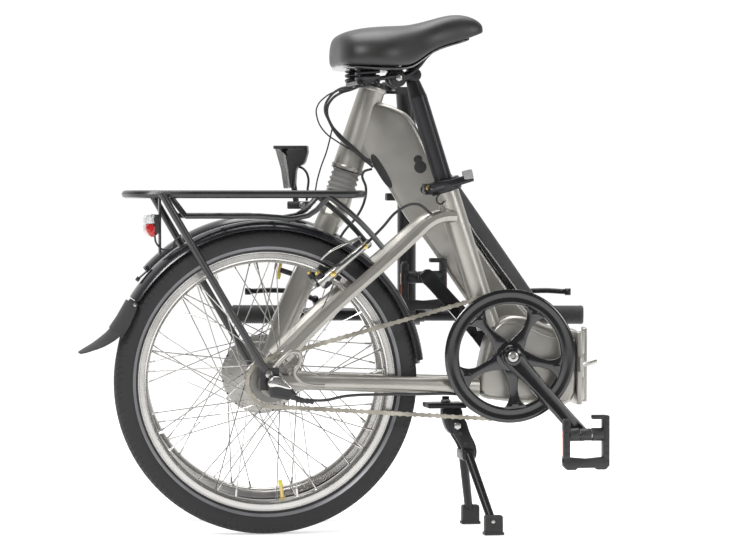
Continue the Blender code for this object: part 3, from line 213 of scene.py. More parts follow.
BELLOWS_RUBBER = finish("bellows_rubber", (0.2, 0.195, 0.185), 0.6, grain=1300, bump=0.15)
RIM_ALLOY = finish("rim_alloy", (0.56, 0.55, 0.53), 0.22, 1.0, grain=1400, bump=0.04, rough_spread=0.06)
HUB_ALLOY = finish("hub_alloy", (0.42, 0.41, 0.385), 0.38, 1.0, grain=1800, bump=0.08, rough_spread=0.08)
STEEL = finish("spoke_steel", (0.42, 0.41, 0.395), 0.28, 1.0, grain=2400, bump=0.05)
CHAIN_STEEL = finish("chain_steel", (0.36, 0.335, 0.285), 0.32, 1.0, grain=900, bump=0.12, mottle=0.35,
                     wear=0.2)
COG_STEEL = finish("cog_steel", (0.22, 0.215, 0.2), 0.38, 1.0, grain=1100, bump=0.1, mottle=0.3, wear=0.2)
BRASS = finish("brass_fittings", (0.62, 0.47, 0.17), 0.3, 1.0, grain=1500, bump=0.05)
YELLOW = finish("yellow_cap", (0.62, 0.55, 0.06), 0.45, grain=1500, bump=0.05)
SADDLE_SKIN = finish("saddle_skin", (0.013, 0.013, 0.0125), 0.42, grain=1500, bump=0.16, mottle=0.12)
CABLE_SKIN = finish("cable_skin", (0.018, 0.018, 0.019), 0.38, grain=1700, bump=0.05)
RED_LENS = clear_plastic("red_lens", (0.55, 0.02, 0.02), 0.3)
CLEAR_LENS = clear_plastic("clear_lens", (0.92, 0.92, 0.94), 0.6)
AMBER = clear_plastic("amber_reflector", (0.75, 0.16, 0.03), 0.15)


# Shapes

def along(start, end):
    """The matrix that lays +Z from start to end, centred between them."""
    start, end = Vector(start), Vector(end)
    turn = (end - start).to_track_quat("Z", "Y").to_matrix().to_4x4()
    return Matrix.Translation((start + end) / 2) @ turn


def rod(shape, start, end, radius, end_radius=None, sides=20, edge=0.0):
    """Add a round rod, with its end edges bevelled if an edge is given."""
    made = bmesh.ops.create_cone(shape, cap_ends=True, segments=sides, radius1=radius,
                                 radius2=radius if end_radius is None else end_radius,
                                 depth=(Vector(end) - Vector(start)).length, matrix=along(start, end),)
    if edge:
        rims = [e for e in {e for v in made["verts"] for e in v.link_edges}
                if any(len(f.verts) > 4 for f in e.link_faces)]
        bmesh.ops.bevel(shape, geom=rims, offset=edge, segments=2, affect="EDGES", profile=0.5, material=-1)


def across(shape, spot, reach, *sizes, **options):
    """Add a rod across the bicycle that reaches as far on both sides of a point."""
    rod(shape, spot - Vector((0, reach, 0)), spot + Vector((0, reach, 0)), *sizes, **options)


def block(shape, middle, size, edge=0.0, turn=None, segments=2):
    """Add a box about its middle, with rounded edges."""
    place = Matrix.Translation(middle)
    if turn is not None:
        place = place @ turn
    made = bmesh.ops.create_cube(shape, size=1, matrix=place @ Matrix.Diagonal((*size, 1)))
    if edge:
        edges = list({e for v in made["verts"] for e in v.link_edges})
        bmesh.ops.bevel(shape, geom=edges, offset=edge, segments=segments, affect="EDGES", profile=0.5,
                        material=-1)


def ring(shape, profile, centre, steps, axis=(0, 1, 0)):
    """Add a ring: a closed profile of (radius, along) points turned about an axis."""
    points = [shape.verts.new((0, y, -radius)) for radius, y in profile]
    edges = [shape.edges.new((points[i - 1], points[i])) for i in range(len(points))]
    bmesh.ops.spin(shape, geom=points + edges, cent=(0, 0, 0), axis=(0, 1, 0), angle=math.tau, steps=steps,
                   use_merge=True)
    reached, queue = set(points), list(points)
    while queue:
        for edge in queue.pop().link_edges:
            for vert in edge.verts:
                if vert not in reached:
                    reached.add(vert)
                    queue.append(vert)
    turn = Vector((0, 1, 0)).rotation_difference(Vector(axis)).to_matrix().to_4x4()
    bmesh.ops.transform(shape, matrix=Matrix.Translation(centre) @ turn, verts=list(reached))


def both_sides(half):
    """A ring's profile from the half of it on the positive side."""
    return half + [(radius, -y) for radius, y in reversed(half)]


def slab(shape, outline, low, high, edge=0.0, segments=3):
    """Add an outline of (x, z) points, as thick as low to high in y, with a rounded rim."""
    face = shape.faces.new([shape.verts.new((x, low, z)) for x, z in outline])
    pushed = bmesh.ops.extrude_face_region(shape, geom=[face])
    far = [item for item in pushed["geom"] if isinstance(item, bmesh.types.BMVert)]
    bmesh.ops.translate(shape, vec=(0, high - low, 0), verts=far)
    if edge:
        caps = [face] + [item for item in pushed["geom"] if isinstance(item, bmesh.types.BMFace)]
        rims = list({e for cap in caps if cap.is_valid for e in cap.edges})
        bmesh.ops.bevel(shape, geom=rims, offset=edge, segments=segments, affect="EDGES", profile=0.5,
                        material=-1)


def softened(outline, share=0.22, rounds=2):
    """The outline with its corners cut to a smooth line."""
    for _ in range(rounds):
        cut = []
        for i, point in enumerate(outline):
            a, b = Vector(point), Vector(outline[(i + 1) % len(outline)])
            cut += [a.lerp(b, share), a.lerp(b, 1 - share)]
        outline = [tuple(point) for point in cut]
    return outline


def tube(shape, points, radius, sides=3, bends=8, cyclic=False):
    """Add a round tube along a smooth line through the points."""
    curve = bpy.data.curves.new("line", "CURVE")
    curve.dimensions = "3D"
    curve.bevel_depth = radius
    curve.bevel_resolution = sides
    curve.resolution_u = bends
    curve.use_fill_caps = not cyclic
    spline = curve.splines.new("BEZIER")
    spline.bezier_points.add(len(points) - 1)
    spline.use_cyclic_u = cyclic
    for bezier, point in zip(spline.bezier_points, points):
        bezier.co = point
        bezier.handle_left_type = "AUTO"
        bezier.handle_right_type = "AUTO"
    holder = bpy.data.objects.new("line", curve)
    bpy.context.collection.objects.link(holder)
    bpy.context.view_layer.update()
    mesh = bpy.data.meshes.new_from_object(holder.evaluated_get(bpy.context.evaluated_depsgraph_get()))
    shape.from_mesh(mesh)
    bpy.data.objects.remove(holder)


def coil(shape, centre, radius, wire, turns, rise, steps=16, sides=8):
    """Add a wound spring that stands on its centre and rises along +Z."""
    circle = bmesh.ops.create_circle(shape, segments=sides, radius=wire)
    turn = Matrix.Translation(Vector(centre) + Vector((radius, 0, 0))) @ Matrix.Rotation(math.pi / 2, 4, "X")
    bmesh.ops.transform(shape, matrix=turn, verts=circle["verts"])
    edges = list({e for v in circle["verts"] for e in v.link_edges})
    bmesh.ops.spin(
        shape, geom=circle["verts"] + edges, cent=centre, axis=(0, 0, 1), dvec=(0, 0, rise / (turns * steps)),
        angle=math.tau * turns, steps=int(turns * steps),
    )
    bmesh.ops.holes_fill(shape, edges=[e for e in shape.edges if e.is_boundary], sides=0)


def skin(shape, rings):
    """Add a closed skin over rings of points."""
    loops = []
    for points in rings:
        verts = [shape.verts.new(point) for point in points]
        loops.append([shape.edges.new((verts[i - 1], verts[i])) for i in range(len(verts))])
    for first, second in zip(loops, loops[1:]):
        bmesh.ops.bridge_loops(shape, edges=first + second)
    bmesh.ops.holes_fill(shape, edges=loops[0] + loops[-1], sides=0)


def join(shape, other, place):
    """Add another shape, moved to its place."""
    bmesh.ops.transform(other, matrix=place, verts=other.verts)
    mesh = bpy.data.meshes.new("joined")
    other.to_mesh(mesh)
    other.free()
    shape.from_mesh(mesh)
    bpy.data.meshes.remove(mesh)


def hang(name, shape, body, material, stands_for=(), smooth=40, levels=0, edge=0.0, place=None):
    """Finish a piece: its shape in its body's place, shaded, coloured and riding on its body."""
    bmesh.ops.transform(shape, matrix=place if place else PLACES.get(body, REAR), verts=shape.verts)
    bmesh.ops.remove_doubles(shape, verts=shape.verts, dist=1e-6)
    bmesh.ops.recalc_face_normals(shape, faces=shape.faces)
    mesh = bpy.data.meshes.new(name)
    shape.to_mesh(mesh)
    shape.free()
    mesh.materials.append(material)
    mesh.shade_smooth()
    mesh.set_sharp_from_angle(angle=math.radians(smooth))
    piece = bpy.data.objects.new(name, mesh)
    bpy.context.collection.objects.link(piece)
    if edge:
        bevel = piece.modifiers.new("edges", "BEVEL")
        bevel.width = edge
        bevel.segments = 2
        bevel.limit_method = "ANGLE"
        bevel.angle_limit = math.radians(40)
    if levels:
        rounding = piece.modifiers.new("rounding", "SUBSURF")
        rounding.levels = levels
        rounding.render_levels = levels
    if body:
        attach(piece, body)
    if stands_for:
        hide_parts(*stands_for)
    return piece


def body_of(node):
    """The name of the body that a node of the model belongs to."""
    for name, members in frame["record"]["behaviour"]["bodies"].items():
        if node in members:
            return name


def refined(node, material, edge=0.0006, smooth=35, levels=0):
    """A solid of the model with its corners rounded and its curves shaded smooth."""
    shape = bmesh.new()
    shape.from_mesh(frame["nodes"][node].data)
    bmesh.ops.remove_doubles(shape, verts=shape.verts, dist=2e-6)
    piece = hang(node + "_finished", shape, body_of(node), material, (node,), smooth, levels, edge, AS_BUILT)
    if edge:
        weigh = piece.modifiers.new("flat_faces", "WEIGHTED_NORMAL")
        weigh.keep_sharp = True
    return piece


def on_axle(radius, angle, y, axle):
    """The point at a radius and an angle round an axle, y to its left."""
    return axle + Vector((radius * math.cos(angle), y, radius * math.sin(angle)))


# Wheels

TYRE_HALF = [
    (0.2484, 0.0024), (0.248, 0.0075), (0.2468, 0.0125), (0.2442, 0.0172), (0.2402, 0.0206), (0.2352, 0.0226),
    (0.23, 0.0232), (0.2245, 0.0228), (0.2195, 0.0207), (0.215, 0.017), (0.2125, 0.0138), (0.2112, 0.0112),
]


def tyre(name, node, axle, body):
    """The casing with three rows of raised tread blocks on each side of a centre rib."""
    shape = bmesh.new()
    profile = [(radius, -y) for radius, y in reversed(TYRE_HALF)] + TYRE_HALF
    ring(shape, profile, axle, 150)
    for vert in shape.verts:
        spoke = vert.co - axle
        lean = abs(spoke.y) * 0.55 / TYRE_R
        vert.co = axle + Matrix.Rotation(lean, 3, "Y") @ spoke
    rows = {}
    for face in shape.faces:
        spoke = face.calc_center_median() - axle
        reach = math.hypot(spoke.x, spoke.z)
        if reach > 0.237 and abs(spoke.y) < 0.0218:
            rows.setdefault(round(spoke.y, 3), []).append(face)
    blocks = [face for faces in rows.values() for face in faces]
    bmesh.ops.inset_individual(shape, faces=blocks, thickness=0.0013, depth=0.0)
    for face in blocks:
        out = face.calc_center_median() - axle
        out.y *= 0.5
        bmesh.ops.translate(shape, vec=out.normalized() * 0.0016, verts=face.verts)
    hang(name, shape, body, TYRE_RUBBER, (node,), smooth=28)
    stripe = bmesh.new()
    for side in (1, -1):
        band = [(0.216, 0.0184), (0.2185, 0.0205), (0.221, 0.0218), (0.221, 0.021), (0.216, 0.0176)]
        ring(stripe, [(radius, side * y) for radius, y in band], axle, 120)
    hang(name + "_stripe", stripe, body, STRIPE)


def rim(name, node, axle, body):
    """A box-section rim with machined brake tracks and a groove above them."""
    shape = bmesh.new()
    half = [(0.1948, 0.003), (0.1952, 0.0062), (0.1968, 0.0096), (0.1992, 0.0118), (0.2012, 0.0124),
            (0.2016, 0.0119), (0.2022, 0.0119), (0.2026, 0.0125), (0.2092, 0.0126), (0.2096, 0.012),
            (0.2102, 0.012), (0.2106, 0.0126), (0.2128, 0.0127), (0.2134, 0.0118), (0.2126, 0.0106),
            (0.206, 0.01)]
    ring(shape, both_sides(half), axle, 144)
    hang(name, shape, body, RIM_ALLOY, (node,), smooth=25)


def wheel_hub(name, node, axle, body, half, flange_r, bolts=()):
    """The hub shell, thirty-six crossed spokes with their heads and nipples, and cover screws."""
    shell = bmesh.new()
    flange_y = 0.0272
    ring(shell, both_sides(half), axle, 72)
    for radius, count, y in bolts:
        for i in range(count):
            spot = on_axle(radius, math.tau * i / count, 0, axle)
            for side in (1, -1):
                rod(shell, spot + Vector((0, side * (y - 0.002), 0)), spot
                    + Vector((0, side * (y + 0.0018), 0)), 0.0028, sides=6, edge=0.0004)
    hang(name, shell, body, HUB_ALLOY, (node,), smooth=30)
    # Black rods through both flanges: painted shade in the flange holes
    holes = bmesh.new()
    for i in range(18):
        spot = on_axle(flange_r + 0.002, math.tau * (i + 0.5) / 18, 0, axle)
        across(holes, spot, 0.0306, 0.0016, sides=10)
    hang(name + "_painted_hole_shade", holes, body, BLACK_ALLOY)
    wires, nipples = bmesh.new(), bmesh.new()
    for side in (1, -1):
        for i in range(9):
            middle = math.tau * (i + (0.25 if side < 0 else 0)) / 9
            for lean in (1, -1):
                inner = on_axle(flange_r, middle + lean * 1.05, side * (flange_y + lean * 0.0022), axle)
                outer = on_axle(0.1985, middle - lean * math.tau / 72, side * 0.003, axle)
                reach = (outer - inner).normalized()
                rod(wires, inner - reach * 0.001, outer, 0.001, sides=8)
                across(wires, inner, 0.003, 0.0019, sides=10, edge=0.0005)
                rod(nipples, outer - reach * 0.015, outer, 0.0017, 0.0021, sides=8)
    hang(name + "_spokes", wires, body, STEEL)
    hang(name + "_nipples", nipples, body, RIM_ALLOY)


def valve(name, axle, angle, body):
    """A valve stem with its nut and cap, pointing at the axle."""
    shape = bmesh.new()
    out = on_axle(1, angle, 0, Vector((0, 0, 0)))
    rod(shape, axle + out * 0.197, axle + out * 0.172, 0.003, sides=14)
    rod(shape, axle + out * 0.195, axle + out * 0.1925, 0.0052, sides=6, edge=0.0005)
    hang(name, shape, body, BRASS)
    cap = bmesh.new()
    rod(cap, axle + out * 0.174, axle + out * 0.164, 0.004, 0.0034, sides=14, edge=0.0008)
    hang(name + "_cap", cap, body, YELLOW)


def guard(name, node, axle, radius, first, last, body):
    """A thin rolled mudguard with turned-in lips."""
    half_width, depth, roll = 0.028, 0.0135, 1.35
    turns = [roll * i / 8 for i in range(-8, 9)]
    wide, deep = half_width / math.sin(roll), depth / (1 - math.cos(roll))
    outer = [(wide * math.sin(turn), -deep * (1 - math.cos(turn))) for turn in turns]
    inner = [(y * 0.945, rise - 0.0016) for y, rise in reversed(outer)]
    shape = bmesh.new()
    face = shape.faces.new([shape.verts.new(on_axle(radius + rise, first, y, axle)) for y,
                            rise in outer + inner])
    bmesh.ops.spin(shape, geom=[face], cent=axle, axis=(0, -1, 0), angle=last - first, steps=72,
                   use_merge=False)
    hang(name, shape, body, GUARD_PLASTIC, (node,), smooth=50)


REAR_HUB_HALF = [
    (0.0056, 0.04), (0.0118, 0.04), (0.0124, 0.0394), (0.013, 0.036), (0.018, 0.0352), (0.0186, 0.033),
    (0.0325, 0.0312), (0.034, 0.03), (0.034, 0.0246), (0.0325, 0.0236), (0.0258, 0.0226), (0.0242, 0.02),
    (0.024, 0.01),
]
MOTOR_HALF = [
    (0.0056, 0.04), (0.018, 0.04), (0.019, 0.0392), (0.02, 0.0372), (0.033, 0.0366), (0.044, 0.0345),
    (0.0555, 0.032), (0.0568, 0.0306), (0.0645, 0.0302), (0.0658, 0.0294), (0.0658, 0.0248), (0.0645, 0.024),
    (0.0608, 0.0232), (0.06, 0.0205), (0.06, 0.01),
]


def wheels():
    tyre("rear_tyre_tread", "rear_tyre", REAR_AXLE, "rear_wheel")
    rim("rear_rim_machined", "rear_rim", REAR_AXLE, "rear_wheel")
    wheel_hub("rear_hub_shell", "rear_hub", REAR_AXLE, "rear_wheel", REAR_HUB_HALF, 0.03)
    valve("rear_valve", REAR_AXLE, math.radians(-82), "rear_wheel")
    tyre("front_tyre_tread", "front_tyre", FRONT_AXLE, "front_wheel")
    rim("front_rim_machined", "front_rim", FRONT_AXLE, "front_wheel")
    bolts = ((0.05, 8, 0.033),)
    wheel_hub("motor_hub_shell", "front_hub", FRONT_AXLE, "front_wheel", MOTOR_HALF, 0.062, bolts)
    valve("front_valve", FRONT_AXLE, math.radians(100), "front_wheel")
    first, last = math.radians(7.5), math.radians(148)
    guard("rear_guard_rolled", "rear_mudguard", REAR_AXLE, 0.264, first, last, "rear_frame")
    first, last = math.radians(42), math.radians(176)
    guard("front_guard_rolled", "front_mudguard", FRONT_AXLE, 0.272, first, last, "fork_group")


# Drive

def chain_route():
    """Yield each chain pin's ring centre, ring radius, angle on the ring and reach along the straight run."""
    run = BOTTOM_BRACKET - REAR_AXLE
    lean = math.atan2(run.z, run.x)
    spread = math.acos((CHAINRING_R - SPROCKET_R) / run.length)
    wrap = math.pi - spread
    straight = math.sqrt(run.length_squared - (CHAINRING_R - SPROCKET_R) ** 2)
    stretches = [CHAINRING_R * 2 * wrap, straight, SPROCKET_R * 2 * spread, straight]
    count = 2 * round(sum(stretches) / CHAIN_PITCH / 2)
    step = sum(stretches) / count
    for i in range(count):
        reach = i * step
        if reach < stretches[0]:
            angle = lean + wrap - reach / CHAINRING_R
            yield BOTTOM_BRACKET, CHAINRING_R, angle, 0
            continue
        reach -= stretches[0]
        if reach < straight:
            yield BOTTOM_BRACKET, CHAINRING_R, lean - wrap, reach
            continue
        reach -= straight
        if reach < stretches[2]:
            yield REAR_AXLE, SPROCKET_R, lean - wrap - reach / SPROCKET_R, 0
            continue
        yield REAR_AXLE, SPROCKET_R, lean + wrap, stretches[2] - reach


def chain():
    """Links of two plates on rollers, narrow and wide by turns."""
    pins = []
    for centre, radius, angle, slide in chain_route():
        heading = Vector((math.sin(angle), 0, -math.cos(angle)))
        pins.append(on_axle(radius, angle, CHAIN_Y, centre) + heading * abs(slide))
    shape = bmesh.new()
    half = [(-0.00936, 0), (-0.00832, 0.003), (-0.006032, 0.0041), (-0.0026, 0.0028), (0.0026, 0.0028),
            (0.006032, 0.0041), (0.00832, 0.003), (0.00936, 0)]
    outline = half + [(x, -z) for x, z in reversed(half[1:-1])]
    for i, pin in enumerate(pins):
        after = pins[(i + 1) % len(pins)]
        heading = (after - pin).normalized()
        turn = Matrix.Rotation(math.atan2(-heading.z, heading.x), 4, "Y")
        gap = 0.003 if i % 2 else 0.0022
        for side in (1, -1):
            link = bmesh.new()
            slab(link, outline, side * gap - 0.0004, side * gap + 0.0004)
            join(shape, link, Matrix.Translation((pin + after) / 2) @ turn)
        for radius, reach, sides in ((0.002, 0.0037, 8), (0.0036, 0.0018, 10)):
            across(shape, pin, reach, radius, sides=sides)
    hang("chain_links", shape, "rear_frame", CHAIN_STEEL, ("chain",), smooth=30)


def toothed(shape, centre, root, teeth, width, y):
    """Add teeth round a ring."""
    for i in range(teeth):
        angle = math.tau * i / teeth
        made = bmesh.ops.create_cone(
            shape, cap_ends=True, segments=4, radius1=0.0046, radius2=0.0018, depth=0.0062,
            matrix=Matrix.Diagonal((1, width / 0.0065, 1, 1)) @ Matrix.Rotation(math.pi / 4, 4, "Z"),
        )
        out = Vector((math.cos(angle), 0, math.sin(angle)))
        turn = out.to_track_quat("Z", "Y").to_matrix().to_4x4()
        place = Matrix.Translation(centre + Vector((0, y, 0)) + out * (root + 0.0026)) @ turn
        bmesh.ops.transform(shape, matrix=place, verts=made["verts"])


def drive_rings():
    """The toothed chainring and the rear sprocket."""
    ringed = bmesh.new()
    half = [(0.085, 0.0011), (0.086, 0.0014), (0.099, 0.0014), (0.1004, 0.0011)]
    profile = [(radius, CHAIN_Y + y) for radius, y in both_sides(half)]
    ring(ringed, profile, BOTTOM_BRACKET, 104)
    toothed(ringed, BOTTOM_BRACKET, 0.1, 52, 0.0022, CHAIN_Y)
    hang("chainring_toothed", ringed, "crankset", COG_STEEL, ("chainring",), smooth=30)
    cog = bmesh.new()
    profile = [(0.01, -0.0415), (0.015, -0.0415), (0.0155, -0.0435), (0.0325, -0.0438), (0.0325, -0.0462)]
    profile += [(0.0155, -0.0465), (0.015, -0.056), (0.01, -0.056)]
    ring(cog, profile, REAR_AXLE, 57)
    toothed(cog, REAR_AXLE, 0.0322, 19, 0.002, CHAIN_Y)
    hang("sprocket_toothed", cog, "rear_sprocket_body", COG_STEEL, ("rear_sprocket",), smooth=30)


def chain_guard():
    """The gloss guard ring and its five flared arms."""
    shape = bmesh.new()
    profile = [(0.0862, -0.0488), (0.1085, -0.0488), (0.11, -0.0498), (0.1098, -0.0515), (0.108, -0.0528),
               (0.104, -0.0531), (0.099, -0.0522), (0.093, -0.0522), (0.0895, -0.053), (0.0868, -0.0524),
               (0.0858, -0.0505)]
    ring(shape, profile, BOTTOM_BRACKET, 120)
    ring(shape, [(0.01, -0.047), (0.025, -0.047), (0.0262, -0.048), (0.024, -0.0555), (0.018, -0.057),
                 (0.01, -0.057)], BOTTOM_BRACKET, 60)
    half = [(0.015, 0.015), (0.026, 0.0135), (0.038, 0.0095), (0.052, 0.007), (0.064, 0.0072),
            (0.074, 0.0105), (0.082, 0.0165), (0.087, 0.0235)]
    outline = softened(half + [(x, -z) for x, z in reversed(half)], 0.25, 1)
    for i in range(5):
        arm = bmesh.new()
        slab(arm, outline, -0.0545, -0.049, 0.0022, 3)
        rod(arm, (0.08, -0.056, 0), (0.08, -0.052, 0), 0.0058, sides=20, edge=0.0008)
        turn = Matrix.Rotation(-math.radians(131.5 - 72 * i), 4, "Y")
        join(shape, arm, Matrix.Translation(BOTTOM_BRACKET) @ turn)
    hang("chain_guard_moulded", shape, "crankset", GLOSS_BLACK, ("chain_guard",), smooth=40)


def crank_tip(side):
    """The pedal's place on a crank: side is -1 on the right, 1 on the left."""
    reach = -side * CRANK_LENGTH
    return BOTTOM_BRACKET + Vector((reach * math.cos(CRANK_ANGLE), 0, reach * math.sin(CRANK_ANGLE)))


def crank(name, node, side):
    """A forged arm, wide at the axle, with a hollowed face and rounded ends."""
    tip = crank_tip(side)
    run = (tip - BOTTOM_BRACKET).normalized()
    across = Vector((-run.z, 0, run.x))
    shape = bmesh.new()
    stations = (
        (-0.018, 0.05, 0.064, 0.009), (-0.013, 0.0492, 0.065, 0.015), (0.0, 0.049, 0.0655, 0.0172),
        (0.02, 0.051, 0.0662, 0.0158), (0.045, 0.053, 0.0675, 0.0136), (0.08, 0.056, 0.069, 0.0124),
        (0.12, 0.059, 0.0715, 0.0118), (0.155, 0.0615, 0.0735, 0.0122), (0.172, 0.0615, 0.0735, 0.0126),
        (0.18, 0.0615, 0.0735, 0.0105), (0.184, 0.062, 0.073, 0.006),
    )
    rings = []
    for reach, inner, outer, half in stations:
        middle = BOTTOM_BRACKET + run * reach
        corners = ((half, inner), (half, outer - 0.0045), (half * 0.72, outer), (half * 0.45, outer - 0.0006),
                   (-half * 0.45, outer - 0.0006), (-half * 0.72, outer), (-half, outer - 0.0045),
                   (-half, inner))
        rings.append([middle + across * offset + Vector((0, side * y, 0)) for offset, y in corners])
    skin(shape, rings)
    hang(name, shape, "crankset", GLOSS_BLACK, (node,), smooth=50, edge=0.0008)
    boss = bmesh.new()
    face = [(0.006, 0.064), (0.0148, 0.064), (0.0152, 0.07), (0.0138, 0.0735), (0.0105, 0.0745),
            (0.0098, 0.0725), (0.006, 0.0725)]
    ring(boss, [(radius, side * y) for radius, y in face], BOTTOM_BRACKET, 48)
    hang(name + "_boss", boss, "crankset", GLOSS_BLACK)
    bolt = bmesh.new()
    ring(bolt, [(0.0034, side * 0.064), (0.0086, side * 0.064), (0.0086, side * 0.0738),
                (0.0074, side * 0.0748), (0.0042, side * 0.0748), (0.0034, side * 0.0738)], BOTTOM_BRACKET,
         30)
    rod(bolt, BOTTOM_BRACKET + Vector((0, side * 0.064, 0)), BOTTOM_BRACKET + Vector((0, side * 0.07, 0)),
        0.0046, sides=6)
    hang(name + "_bolt", bolt, "crankset", STEEL)


def pedal(name, node, side):
    """A folding platform: two toothed rails, a notched outer plate and a three-part barrel on the pin."""
    tip = crank_tip(side)
    pin = tip + Vector((0, side * PEDAL_HINGE_Y, 0))
    place = REAR @ Matrix.Translation(pin) @ Matrix.Rotation(-side * math.pi / 2, 4, "X")
    place = place @ Matrix.Scale(side, 4, (0, 1, 0))
    shape = bmesh.new()
    for x, start in ((-0.033, -0.0235), (0.033, -0.0315)):
        block(shape, (x, (start + 0.0475) / 2, 0), (0.011, 0.0475 - start, 0.017), 0.0022)
        for i in range(7):
            block(shape, (x, -0.024 + i * 0.011, 0), (0.007, 0.004, 0.0186), 0.0006, segments=1)
    outline = [(-0.0385, 0.039), (-0.0385, 0.051), (-0.032, 0.0575), (-0.018, 0.0575), (-0.015, 0.0545),
               (0.015, 0.0545), (0.018, 0.0575), (0.032, 0.0575), (0.0385, 0.051), (0.0385, 0.039),
               (0.027, 0.037), (0.0, 0.0395), (-0.027, 0.037)]
    plate = bmesh.new()
    slab(plate, outline, -0.0085, 0.0085, 0.0018, 2)
    join(shape, plate, LAID_FLAT)
    block(shape, (0.022, -0.0285, 0), (0.024, 0.0072, 0.015), 0.0018)
    for start, end, radius in ((-0.0285, -0.012, 0.0108), (-0.0105, 0.008, 0.01), (0.0095, 0.0285, 0.0108)):
        rod(shape, (start, 0, 0), (end, 0, 0), radius, sides=28, edge=0.0012)
    block(shape, (0.0, 0.006, 0), (0.056, 0.008, 0.008), 0.001)
    hang(name, shape, node + "_body", BLACK_PLASTIC, (node,), smooth=35, place=place)
    reflector = bmesh.new()
    for x in (-0.0388, 0.0388):
        block(reflector, (x, 0.014, 0), (0.001, 0.042, 0.008), 0.0003)
    hang(name + "_reflectors", reflector, node + "_body", AMBER, place=place)


def drive():
    chain()
    drive_rings()
    chain_guard()
    crank("crank_right_forged", "crank_right", -1)
    crank("crank_left_forged", "crank_left", 1)
    pedal("pedal_right_platform", "pedal_right", -1)
    pedal("pedal_left_platform", "pedal_left", 1)


# Saddle

SADDLE_SECTIONS = (
    (0.1125, 0.048, 0.776, 0.808, 0.774), (0.116, 0.07, 0.767, 0.815, 0.766),
    (0.126, 0.089, 0.7625, 0.822, 0.764), (0.15, 0.099, 0.761, 0.829, 0.774),
    (0.18, 0.1, 0.7595, 0.8322, 0.778), (0.208, 0.09, 0.7595, 0.8337, 0.778),
    (0.232, 0.073, 0.7625, 0.8347, 0.78), (0.252, 0.056, 0.7765, 0.8388, 0.788),
    (0.272, 0.045, 0.7905, 0.844, 0.798), (0.295, 0.037, 0.7995, 0.8508, 0.805),
    (0.318, 0.032, 0.8055, 0.854, 0.811), (0.34, 0.0275, 0.813, 0.85, 0.819),
    (0.354, 0.022, 0.819, 0.842, 0.824), (0.361, 0.014, 0.8225, 0.834, 0.825),
)


def saddle():
    """A moulded cushion with a dropped skirt, and a hard glossy base under it."""
    rings, base_rings = [], []
    for x, half, skirt, crown, belly in SADDLE_SECTIONS:
        depth = crown - skirt
        side = [(half * 0.9, skirt), (half * 0.985, skirt + depth * 0.12), (half, skirt + depth * 0.34),
                (half * 0.94, skirt + depth * 0.6), (half * 0.76, skirt + depth * 0.84),
                (half * 0.42, skirt + depth * 0.97)]
        points = side + [(0, crown - 0.0012)] + [(-y, z) for y, z in reversed(side)]
        points += [(-half * 0.55, belly), (half * 0.55, belly)]
        rings.append([(x, y, z) for y, z in points])
        lip = [(0.88, 0.0045), (0.93, 0.0005), (0.9, -0.0028), (0.6, -0.002)]
        points = [(half * share, skirt + rise) for share, rise in lip]
        points += [(-y, z) for y, z in reversed(points)]
        base_rings.append([(x, y, z) for y, z in points])
    shape = bmesh.new()
    skin(shape, rings)
    cover = hang("saddle_cover", shape, "seat", SADDLE_SKIN, ("saddle",), smooth=180, levels=2)
    base = bmesh.new()
    skin(base, base_rings[1:-2])
    hang("saddle_base", base, "seat", GLOSS_BLACK, smooth=60, levels=1)


def saddle_springs():
    """Coil springs and rails under the saddle, and the clamp that holds the rails on the post."""
    wires = bmesh.new()
    for side in (1, -1):
        for radius, low, high in ((0.0185, 0.74, 0.764), (0.012, 0.7385, 0.76)):
            coil(wires, (0.16, side * 0.048, low), radius, 0.0027, 3, high - low)
        rail = [(0.33, 0.012, 0.818), (0.305, 0.016, 0.81), (0.285, 0.02, 0.8), (0.264, 0.0225, 0.783),
                (0.248, 0.0235, 0.764), (0.232, 0.024, 0.752), (0.2, 0.03, 0.748), (0.17, 0.046, 0.743),
                (0.15, 0.051, 0.739)]
        tube(wires, [(x, side * y, z) for x, y, z in rail], 0.0036, bends=6)
    tube(wires, [(0.145, y, 0.738) for y in (-0.054, 0, 0.054)], 0.0036)
    hang("saddle_springs", wires, "seat", BLACK_ALLOY, ("saddle_frame",))
    clamp = bmesh.new()
    middle, post_top = Vector((0.2157, 0, 0.7466)), Vector((0.244, 0, 0.752))
    for side in (1, -1):
        off = Vector((0, side, 0))
        rod(clamp, middle + off * 0.012, middle + off * 0.0215, 0.015, sides=32, edge=0.002)
        rod(clamp, middle + off * 0.0215, middle + off * 0.029, 0.0105, sides=28, edge=0.0018)
        rod(clamp, middle + off * 0.017, post_top + off * 0.017, 0.0085, 0.007, sides=18)
        rod(clamp, post_top + off * 0.01, post_top + off * 0.024, 0.0105, sides=24, edge=0.0012)
    across(clamp, middle, 0.013, 0.0115, sides=28)
    across(clamp, post_top, 0.011, 0.011, sides=28)
    block(clamp, (0.244, 0, 0.757), (0.017, 0.03, 0.016), 0.003)
    hang("saddle_clamp", clamp, "seat", BLACK_ALLOY)
    nuts = bmesh.new()
    across(nuts, middle, 0.0335, 0.0038, sides=16, edge=0.0006)
    across(nuts, middle, 0.0315, 0.0058, sides=6, edge=0.0006)
    hang("saddle_clamp_nuts", nuts, "seat", STEEL)


# Frame

